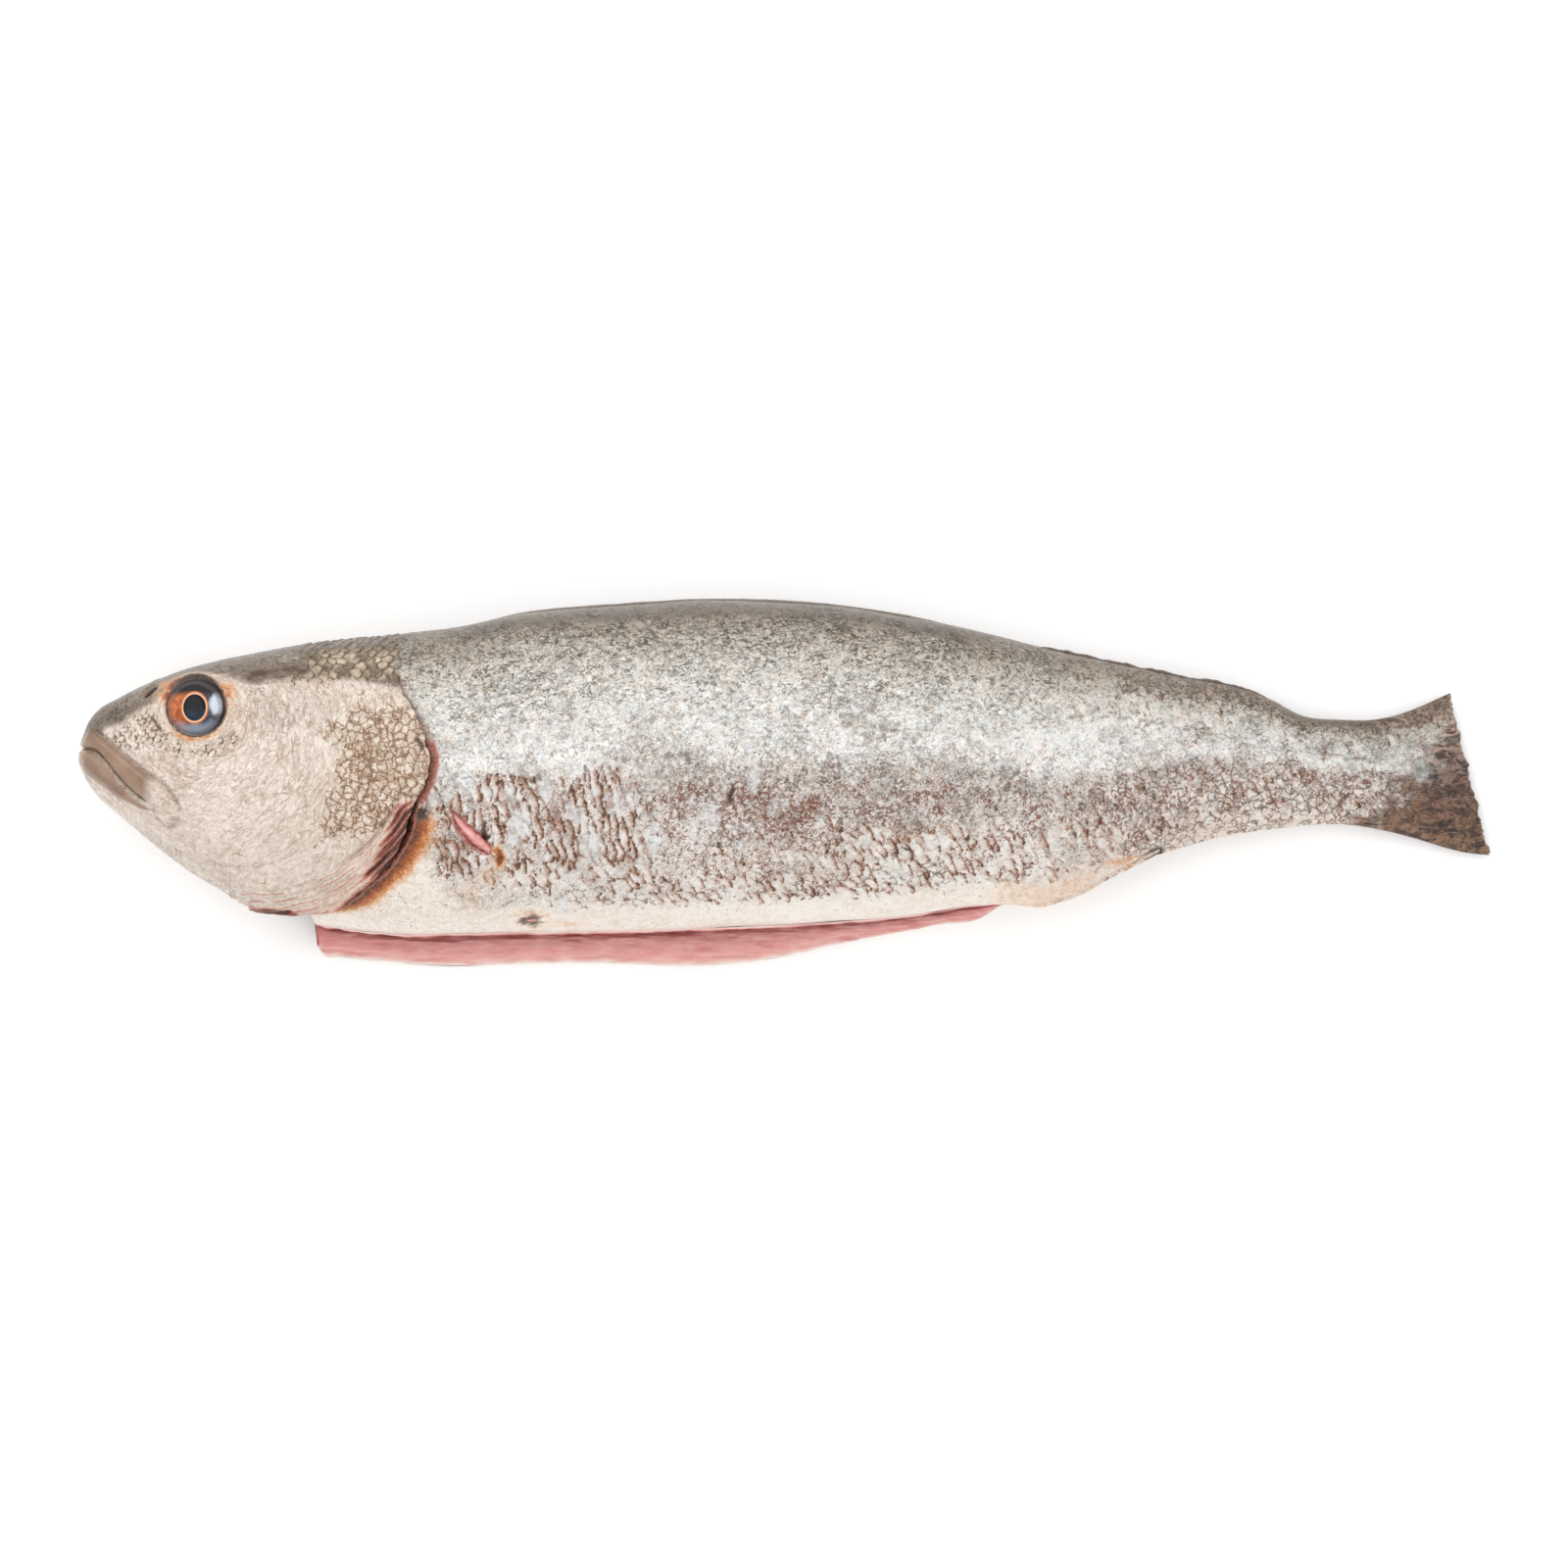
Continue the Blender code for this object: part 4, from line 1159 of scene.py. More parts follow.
        edge = Section.head_edge(turn[:, 0])[:, None]
        slanting = 1 - 0.4 * (1 - eased(level, -0.035, 0.0))
        behind = (station - edge) * LENGTH * slanting / MILLIMETRE
        under = np.clip(turn / math.pi, 0, 1)
        waver = behind + 0.9 * Grain(51).layered(u / 5, v_seed / 5, 3)
        pink = between(level, 0.028, 0.074, 0.005) * (1 - eased(waver, 1.4, 3.4))
        red = between(level, -0.016, 0.032, 0.006) * (1 - eased(waver, 2.8, 4.6))
        # Blood just behind the lower gill cover's edge, darkened to near black as painted shade in
        # the gap under the cover.
        deep = (1 - eased(level, -0.014, -0.004)) * (1 - eased(behind + ragged, 0.5, 2.6))
        blood = np.maximum(0.20 * pink, np.maximum(0.40 * red, 1.05 * deep))
        blood = np.maximum(blood, 0.62 * red * (1 - eased(waver, 0.4, 1.6)))
        bare_until = np.where(side < 0, 0.1650, 0.1585)
        throat = eased(under, 0.78, 0.86) * (1 - eased(station - bare_until, -0.002, 0.002))
        # Painted shade with blood: the skin tucked into the throat under the head is dark red to
        # near black.
        blood = np.maximum(blood, 0.95 * throat)
        stain = 1 - eased(behind + 1.5 * ragged, 0.3, 9.2)
        stain = 0.84 * stain * between(level, -0.090, -0.020, 0.008) * (1 - throat)
        axil = self.spot(x, y, 0.2550, -0.0330, 0.012, 0.014, ragged)
        stain = np.maximum(stain, 0.16 * axil)

        distance, run_share, _ = Line(self.PECTORAL).near(x, y)
        lens = 1.9 * run_share ** 0.85 * (1 - run_share) ** 0.40 * 0.0027
        pocket = 1 - eased(distance - lens, -0.0008, 0.0006)
        rim_of_pocket = bell(distance - lens, 0.0012, 0.0012)
        blood = np.maximum(blood, 0.45 * bell(distance - lens, -0.0001, 0.0006))
        stain = np.maximum(stain, 0.80 * self.spot(x, y, 0.2992, -0.0517, 0.0048, 0.0100, ragged))
        stain = np.maximum(stain, 0.24 * self.spot(x, y, 0.2930, -0.0640, 0.0110, 0.0120, ragged))
        stain = np.maximum(stain, 0.20 * self.spot(x, y, 0.2790, -0.0760, 0.0120, 0.0110, ragged))
        x, y = points[..., 0] + 0.6 * warp_x, points[..., 1] + 0.6 * warp_y
        mark = 1.1 * self.spot(x, y, 0.2890, -0.0365, 0.0032, 0.0070, ragged)
        mark = np.maximum(mark, 0.80 * self.spot(x, y, 0.2460, -0.0200, 0.0060, 0.0060, ragged))
        vertical = Line(((0.4620, 0.0020), (0.4632, -0.0050), (0.4618, -0.0110),
                         (0.4605, -0.0180)))
        mark = np.maximum(mark, 0.66 * vertical.stroke(x, y, 0.0011, 0.35))
        for station_at, level_at, half_length, half_height, strength in self.LOW_STAINS:
            stain = np.maximum(stain, strength * self.spot(x, y, station_at, level_at, half_length,
                                                           half_height, torn))
        for station_at, level_at, half_length, half_height, strength in self.LOW_MARKS:
            mark = np.maximum(mark, strength * self.spot(x, y, station_at, level_at, half_length,
                                                         half_height, torn))
        vent = (1 - eased(share, 0.03, 0.16)) * between(station, 0.645, 0.725, 0.012)
        stain = np.maximum(stain, 0.19 * vent * (1 + 1.2 * ragged))
        lateral = Line(self.LATERAL).stroke(x, y, 0.0007, 0.05)
        gaps = eased(Grain(87).layered(u / 7, v_seed / 9, 2), -0.05, 0.25)
        mark = np.maximum(mark, 0.26 * lateral * gaps * eased(station, 0.48, 0.52))
        mark = np.maximum(mark, 0.50 * self.dark_flecks(u, v_seed, low, station))
        wander = 0.030 * Grain(89).layered(u / 6, v_seed / 4, 4, 0.6)
        fin = eased(station + wander + 0.075 * (0.5 - share), 0.930, 0.962)
        fin = np.maximum(fin, 0.6 * eased(station + wander, 0.90, 0.93) * eased(share, 0.82, 0.95))
        smooth = eased(share + 0.012 * Grain(93).layered(u / 14, v_seed / 5, 2), 0.935, 0.965)
        smooth = smooth * between(station, 0.270, 0.640, 0.020)
        smooth = np.maximum(smooth, eased(share, 0.90, 0.96)
                            * between(station, 0.855, 0.940, 0.010))
        # Painted shade: a darker band across the lower middle of the flank and along the lower tail,
        # partly the skin's own darker tone.
        painted_shade_band = between(low, 0.34, 0.52, 0.06) * between(station, 0.53, 0.70, 0.06)
        painted_shade_band = painted_shade_band + 0.8 * rear * (1 - eased(low, 0.40, 0.50)) * eased(station, 0.86, 0.90)
        # Painted light and shade: lit lightens the lower middle flank, the upper flank from 0.63 to
        # 0.74 and the lower tail root, and darkens the upper rear behind 0.74 and the tail, partly
        # the skin's own tone.
        lit = 0.40 * between(low, 0.03, 0.30, 0.05) * between(station, 0.40, 0.64, 0.04)
        lit = lit + 0.30 * between(low, 0.62, 0.90, 0.05) * between(station, 0.63, 0.74, 0.03)
        lit = lit - 0.24 * rear * eased(low, 0.42, 0.52) * eased(station, 0.74, 0.80)
        lit = lit + 0.34 * (1 - eased(low, 0.28, 0.40)) * between(station, 0.86, 0.93, 0.02)
        lit = lit - 0.10 * eased(station, 0.88, 0.92)
        speck = 1.0 * between(station, 0.40, 0.55, 0.03) * between(low, 0.12, 0.44, 0.05)
        speck = np.maximum(1.05 * speck, 0.85 * long_zone)
        speck = np.maximum(speck, 0.80 * between(low, 0.10, 0.50, 0.06) * eased(station, .4, .5))
        speck = np.maximum(speck, 0.45) * (1 - 0.5 * eased(low, 0.5, 0.7))
        speck = speck * (1 - 0.25 * middle * (1 - eased(low, 0.24, 0.32)))

        swell = 0.00045 * Grain(61).layered(u / 30, v_seed / 24, 2)
        flat = 1 - np.clip(0.6 * bare + 0.85 * cream + fin + smooth, 0, 1)
        amount = 0.00010 + 0.00014 * np.clip(net, 0, 1) + 0.00004 * streak
        height = flat * (amount * tilt * (0.4 + net) + 0.00020 * relief)
        height = height + swell * (1 - fin)
        height = height - 0.0014 * pocket + 0.0006 * rim_of_pocket
        height = height - 0.0006 * mark * (fin < 0.1)
        rays = np.sin(2 * math.pi * share * 23 + 2 * Grain(71).at(u / 30, v / 9))
        height = height + 0.00014 * rays * eased(station, 0.93, 0.97)
        height = height - 0.0006 * bell(share, 0.985, 0.02) * eased(station, 0.96, TAIL_SHARE)
        sheet.raise_by(height)
        sheet.points[..., 0] += self.ragged_tail(station, share, side)
        sheet.masks = {
            "share": share, "streak": streak, "rim": rim, "net": net_drawn, "pale": pale,
            "crack": crack * (1 - smooth), "even": even,
            # The relief mask goes into the colour as painted shade in hollows and highlight on
            # ridges, with the painted bands above.
            "relief": relief * flat - 0.36 * painted_shade_band + lit, "bare": bare,
            "cream": cream,
            "smooth": smooth, "speck": speck, "stain": stain, "blood": blood, "mark": mark,
            "fin": fin,
        }
        return sheet

    @staticmethod
    def spot(x: Array, y: Array, station: float, level: float, half_length: float,
             half_height: float, ragged: Array) -> Array:
        """1 in an oval spot of the side view, fading over a ragged edge."""
        at, height = (x - NOSE_X) / LENGTH - station, y / LENGTH - level
        far = np.hypot(at / half_length, height / half_height)
        return 1 - eased(far + ragged, -0.20, 1.60)

    @staticmethod
    def dark_flecks(u: Array, v: Array, low: Array, station: Array) -> Array:
        """Clusters of short brown flecks under the middle of the flank."""
        cluster = Grain(81).layered(u / 10, v / 10, 2)
        zone = eased(station, 0.36, 0.42) * between(low, 0.16, 0.42, 0.05)
        fleck = Grain(83).layered(u / 1.8, v / 2.6, 2)
        return eased(cluster, 0.12, 0.45) * eased(fleck, 0.10, 0.45) * zone

    @staticmethod
    def ragged_tail(station: Array, share: Array, side: Array) -> Array:
        """How far the last columns move along X, so that the trimmed edge isn't quite straight."""
        last = eased(station, 0.970, TAIL_SHARE)
        wave = Grain(91).layered(share * 9, 0 * share + 3.3, 5, 0.6)
        return last * 0.0016 * wave

    def build(self, finish: bpy.types.Material) -> list[bpy.types.Object]:
        """Makes the skin's pieces: the left flank in lengths, the right flank, the keel behind
        the slit and the trimmed tail's face."""
        sheet = self.dressed()
        shading = sheet.normals()
        back_row = self.right_rows - 1
        pieces = []
        bounds = np.linspace(0, self.columns - 1, self.left_parts + 1).astype(int)
        for name, start, end in zip(("front", "middle", "rear"), bounds, bounds[1:]):
            rows, columns = slice(back_row, None), slice(start, end + 1)
            part = sheet.window(rows, columns)
            pieces.append(part.piece(f"trunk_skin_{name}", finish, shading[rows, columns]))
        rows, columns = slice(0, back_row + 1), slice(0, None, 1)
        part = sheet.window(rows, columns)
        pieces.append(part.piece("trunk_skin_right", finish, shading[rows, columns]))
        pieces += [self.keel(sheet, finish), self.tail_face(sheet, finish)]
        return [placed(piece, "body") for piece in pieces]

    def keel(self, sheet: Sheet, finish: bpy.types.Material) -> bpy.types.Object:
        """The closed edge between the flanks behind the slit: a half round from one to the
        other, start + (end - start) * share, pushed out by sin(pi * share) of its radius."""
        stations = np.linspace(self.front, TAIL_SHARE, self.columns)
        columns = slice(int(np.searchsorted(stations, Section.SLIT_BACK - 0.004)), None)
        start, end = sheet.points[-1, columns], sheet.points[0, columns]
        share = np.linspace(0, 1, 9)[:, None, None]
        gap = np.linalg.norm(end - start, axis=1) * eased(stations[columns], 0.656, 0.690)
        gap = gap[None, :, None]
        points = start + (end - start) * share
        points = points - np.array([0.0, 0.5, 0.0]) * gap * np.sin(math.pi * share)
        strip = Sheet(points, {name: np.repeat(mask[-1:, columns], 9, axis=0)
                               for name, mask in sheet.masks.items()})
        return strip.piece("keel_skin", finish, strip.normals())

    def tail_face(self, sheet: Sheet, finish: bpy.types.Material) -> bpy.types.Object:
        """The cut end: straight across from one flank's last column to the other's, with the
        fin rays' ends standing out from it."""
        rim = sheet.points[:, -1]
        left = rim[self.right_rows - 1:]
        right = rim[self.right_rows - 1::-1]
        right = np.stack([np.interp(-left[:, 1], -right[:, 1], right[:, axis])
                          for axis in range(3)], axis=1)
        share = np.linspace(0, 1, 9)[:, None, None]
        points = left + (right - left) * share
        face = Sheet(points, {}, outward=1)
        across = np.sin(math.pi * share[..., 0])
        rays = Grain(95).layered(left[:, 1] / (1.4 * MILLIMETRE), 0 * left[:, 1] + 2.2, 2)
        points[..., 0] += across * (0.0005 + 0.0005 * rays)
        level = sheet.masks["share"][self.right_rows - 1:, -1]
        face.masks = {"share": np.repeat(level[None], 9, axis=0),
                      "fin": np.ones(points.shape[:2]), "mark": 0.35 * across * (rays < 0)}
        return face.piece("tail_face", finish, face.normals())


@dataclass(frozen=True)
class FinBase:
    """The low ridge left along the back line or the keel where a fin was cut off."""

    name: str
    start: float
    end: float
    height: float
    half_width: float
    ragged: float
    on_back: bool = True
    dark: float = 0.12
    columns: int = 420
    rows: int = 22

    def build(self, finish: bpy.types.Material) -> bpy.types.Object:
        """Carries an oval along the line: y out by height * sin(a), z by half_width * cos(a),
        both shrinking to nothing at the ends."""
        stations = np.linspace(self.start, self.end, self.columns)
        section = Section(stations, 1)
        line = section.back if self.on_back else section.left_belly
        outward = 1 if self.on_back else -1
        share = np.linspace(0, 1, self.columns)
        taper = np.sqrt(np.clip(1 - np.abs(2 * share - 1) ** 7, 0, 1))
        u = LENGTH * stations / MILLIMETRE
        rough = Grain(401).layered(u / 9, 0 * u + self.start * 90, 5, 0.55)
        angle = np.linspace(0, 2 * math.pi, self.rows)[:, None]
        tall = taper * (self.height + self.ragged * rough)
        sunk = np.where(np.sin(angle) < 0, 0.0015, tall)
        y = line - outward * 0.0005 + outward * sunk * np.sin(angle) * taper
        z = section.plane + self.half_width * taper * np.cos(angle)
        x = Section.place_x(stations[None, :] * np.ones_like(y), y)
        fine = Grain(403).ridges(u[None, :] / 1.3, 9 * angle)
        level = np.full(y.shape, 1.0 if self.on_back else 0.02)
        sheet = Sheet(np.stack([x, y, z], axis=-1), {
            "share": level, "smooth": np.full(y.shape, 0.9 if self.on_back else 0.0),
            "mark": (self.dark + 0.30 * eased(-rough, 0.0, 0.4)) * np.ones_like(y),
            "stain": np.full(y.shape, 0.0 if self.on_back else 0.12),
            # The relief mask goes into the colour as painted shade in the fine hollows and highlight
            # on the ridges.
            "relief": 0.4 * (fine - 0.6), "rim": np.full(y.shape, 0.01),
        }, outward=outward)
        return placed(sheet.piece(self.name, finish, sheet.normals()), "body")


@dataclass(frozen=True)
class FinStump:
    """The cut base of a paired fin: a lens of pale rays and pink flesh set in the skin."""

    name: str
    side: Side
    path: Path
    half_width: float
    proud: float
    raw: float = 0.0
    columns: int = 90
    rows: int = 26

    def build(self, finish: bpy.types.Material) -> bpy.types.Object:
        """Lays a lens along the path: t from -1 to 1 across it, the width following
        2 * sqrt(s * (1 - s)), standing up by proud * sqrt(1 - t * t)."""
        along = np.linspace(0, 1, self.columns)
        middle = flowing(np.array(self.path), self.columns) * LENGTH + (NOSE_X, 0.0)
        ahead = np.gradient(middle, axis=0)
        ahead = ahead / np.linalg.norm(ahead, axis=1, keepdims=True)
        wide = 1.9 * along ** 0.85 * (1 - along) ** 0.40
        across = np.linspace(-1, 1, self.rows)[:, None]
        x = middle[:, 0] - ahead[:, 1] * across * wide * self.half_width
        y = middle[:, 1] + ahead[:, 0] * across * wide * self.half_width
        z = Section((x - NOSE_X) / LENGTH, 1).over(y, self.side)
        rays = Grain(411).layered(along[None, :] * 9, across * 1.6, 3)
        rise = self.proud * np.sqrt(np.clip(1 - across ** 2, 0, 1)) * wide
        rise = rise + 0.00022 * rays * wide - 0.0013
        z = z + self.side.value * rise
        # Darker red towards both edges of the lens.
        depth = 0.42 - 0.26 * bell(across + 0.4 * rays, 0.15, 0.22)
        depth = depth + 0.55 * eased(-across + 0.3 * rays, 0.0, 0.65)
        depth = depth + 0.45 * eased(across + 0.2 * rays, 0.55, 0.95) + self.raw
        sheet = Sheet(np.stack([x, y, z], axis=-1),
                      {"depth": depth * np.ones_like(x), "fold": eased(rays, 0.25, 0.6)},
                      outward=-self.side.value)
        return placed(sheet.piece(self.name, finish, sheet.normals()), "body")


@dataclass(frozen=True)
class StrayScale:
    """One loose scale that has stuck to the tail."""

    station: float = 0.9549
    level: float = 0.0104
    half_length: float = 0.0029
    half_height: float = 0.0040
    rings: int = 26
    spokes: int = 60

    def build(self, finish: bpy.types.Material) -> bpy.types.Object:
        """A thin disc r from 0 to 1 laid over the skin, 0.45 mm up in its middle and touching
        at its rim."""
        r, angle = np.meshgrid(np.linspace(0, 1, self.rings),
                               np.linspace(0, 2 * math.pi, self.spokes), indexing="xy")
        wobble = r * (1 + 0.05 * np.sin(3 * angle + 1) + 0.03 * np.sin(5 * angle))
        x = NOSE_X + LENGTH * self.station + self.half_length * wobble * np.cos(angle)
        y = LENGTH * self.level + self.half_height * wobble * np.sin(angle)
        station = (x - NOSE_X) / LENGTH
        z = Section(station, 1).over(y, Side.LEFT) + 0.0002 + 0.00035 * np.sqrt(1 - 0.98 * r ** 2)
        ridge = np.cos(2 * math.pi * r * 9)
        z = z + 0.00002 * ridge
        sheet = Sheet(np.stack([x, y, z], axis=-1), {"ring": r}, outward=1)
        normals = sheet.normals()
        normals[:, 0] = (0, 0, 1)
        return placed(sheet.piece("stray_scale", finish, normals), "body")


@dataclass(frozen=True)
class ScaleFinish:
    """A loose scale: cloudy silver with fine growth rings, browner at its rim."""

    name: str = "loose silver scale"

    def material(self, effects: Effects) -> bpy.types.Material:
        """Builds the finish from the mask ring, 0 in the middle to 1 at the rim."""
        made, graph, shader = new_material(self.name)
        ring = graph.mask("ring")
        waves = graph.maths("SINE", graph.maths("MULTIPLY", ring, 58.0))
        tone = graph.use(effects.crinkle, Place=graph.place(), Size=1.1).outputs["Tone"]
        tone = graph.maths("ADD", tone, graph.maths("MULTIPLY", waves, 0.12))
        colour = graph.blend(graph.span(tone, 0.0, 1.0), tint(138, 134, 128), tint(198, 196, 190))
        colour = graph.blend(graph.span(ring, 0.86, 1.0, 0.0, 0.7), colour, tint(120, 104, 90))
        graph.feed(shader.inputs["Base Color"], colour)
        bump = graph.put("ShaderNodeBump")
        settle(bump, Strength=1.0, Distance=0.00008)
        graph.feed(bump.inputs["Height"], waves)
        graph.feed(shader.inputs["Normal"], bump.outputs["Normal"])
        settle(shader, Roughness=0.30, Coat_Weight=0.3, Coat_Roughness=0.15)
        return made


@dataclass
class BellyFlesh:
    """The inside of the slit belly: the left wall's cut face, the hollow and the right wall,
    whose cut face shows below the left wall as a pink strip."""

    columns: int = 420
    rows: int = 120
    hollow_depth: float = 0.048

    def build(self, finish: bpy.types.Material) -> bpy.types.Object:
        """Carries the cut's profile along the slit, narrowed to nothing at the vent."""
        stations = np.linspace(Section.SLIT_FRONT - 0.0004, Section.SLIT_BACK + 0.004,
                               self.columns)
        section = Section(stations, 1)
        lip, outer = section.left_belly, section.right_belly
        share = np.clip((stations - Section.SLIT_FRONT) / 0.487, 0, 1)
        taper = np.sqrt(np.clip(1 - (2 * share - 1) ** 4, 0.0, 1))
        closed = np.minimum(eased(share, -0.001, 0.02), 1 - eased(share, 0.90, 1.0))
        depth = 0.002 + self.hollow_depth * taper * closed
        floor = section.notch
        roof = floor + Section.SLIT_OPENING * np.sqrt(taper) * closed
        roof = np.minimum(roof, section.left_edge - 0.001)
        middle = 0.5 * (roof + floor)
        wall = lip - outer
        top = section.right_edge + np.minimum(0.0016, 0.3 * wall)
        profile = np.array([
            (lip, section.left_edge), (lip - 0.0005 * closed, section.left_edge - 0.0010),
            (lip - 0.0003 * closed, 0.5 * (roof + section.left_edge)), (lip + 0.0004, roof),
            (lip + 0.30 * depth, roof + 0.001 * closed),
            (lip + 0.75 * depth, roof + 0.001 * closed), (lip + depth, middle),
            (lip + 0.75 * depth, floor - 0.001 * closed),
            (lip + 0.30 * depth, floor - 0.0006 * closed),
            (lip + 0.0005, floor), (lip - 0.30 * wall, floor + 0.0004 * closed),
            (lip - 0.65 * wall, 0.55 * floor + 0.45 * top + 0.0006 * closed),
            (outer + np.minimum(0.0016, 0.3 * wall), top), (outer + 0.0002, top - 0.0008),
            (outer, section.right_edge),
        ])
        across = flowing(np.moveaxis(profile, 1, 2), self.rows)
        y, z = across[..., 0], across[..., 1]
        station = stations[None, :] * np.ones_like(y)
        x = Section.place_x(station, y)
        out = np.clip((lip - y) / np.maximum(wall, 1e-4), -1, 1)
        u, v = (x - NOSE_X) / MILLIMETRE, y / MILLIMETRE
        folds = Grain(201).layered(u / 16, v / 2.2, 3)
        lumps = Grain(203).layered(u / 6, v / 4, 2)
        rows = np.linspace(0, 1, self.rows)[:, None]
        inner = eased(rows, 0.01, 0.06) * (1 - eased(rows, 0.95, 0.995))
        sheet = Sheet(np.stack([x, y, z], axis=-1), {}, outward=-1)
        sheet.raise_by(inner * (0.00055 * folds + 0.0003 * lumps))
        # Painted shade: the flesh darkens into the hollow under the left wall's edge, and pales at
        # the right wall's outer rim.
        shade = 1 - eased(out, -0.25, 0.30)
        depth_and_painted_shade = 0.34 + 0.20 * (1 - eased(out, 0.15, 0.75)) + 0.75 * shade
        depth_and_painted_shade = depth_and_painted_shade - 0.34 * eased(out + 0.12 * folds, 0.78, 1.0)
        depth_and_painted_shade = np.where(rows < 0.20, 0.10 + 0.9 * eased(rows, 0.10, 0.22), depth_and_painted_shade)
        sheet.masks = {"depth": depth_and_painted_shade, "fold": eased(-folds, 0.15, 0.55)}
        self.throat(float(lip[0]), float(outer[0]), section, finish)
        return placed(sheet.piece("belly_flesh", finish, sheet.normals()), "body")

    @staticmethod
    def throat(lip: float, outer: float, section: Section,
               finish: bpy.types.Material) -> bpy.types.Object:
        """The raw face across the front of the slit, from the left wall's edge at t = 0 to the
        right wall's at t = 1, reaching 30 mm in and hollowed by sin(pi * t)."""
        t = np.linspace(0, 1, 40)[:, None]
        s = np.linspace(0, 1, 60)[None, :]
        high, low = float(section.left_edge[0]) + 0.0008, float(section.right_edge[0]) - 0.0004
        y = lip - 0.0007 + (outer - lip) * eased(t, 0.35, 1.0) + 0.030 * s + 0 * t
        z = high + (low - high) * t + 0.010 * s * (1 - t) - 0.004 * s * t
        rough = Grain(211).layered(s * 9 + 0 * t, t * 5 + 0 * s, 3)
        hollow = 0.0045 * np.sin(math.pi * t) * np.sin(0.5 * math.pi * s) + 0.0006 * rough
        x = NOSE_X + LENGTH * (Section.SLIT_FRONT - 0.0006) + hollow * eased(s, 0.0, 0.1)
        # Painted shade: the face darkens further into the throat.
        sheet = Sheet(np.stack([x, y, z], axis=-1), {
            "depth": 0.34 + 0.30 * eased(s + 0.1 * rough, 0.02, 0.25) + 0.2 * s + 0 * t,
            "fold": eased(rough, 0.1, 0.5)}, outward=1)
        return placed(sheet.piece("throat_flesh", finish, sheet.normals()), "body")


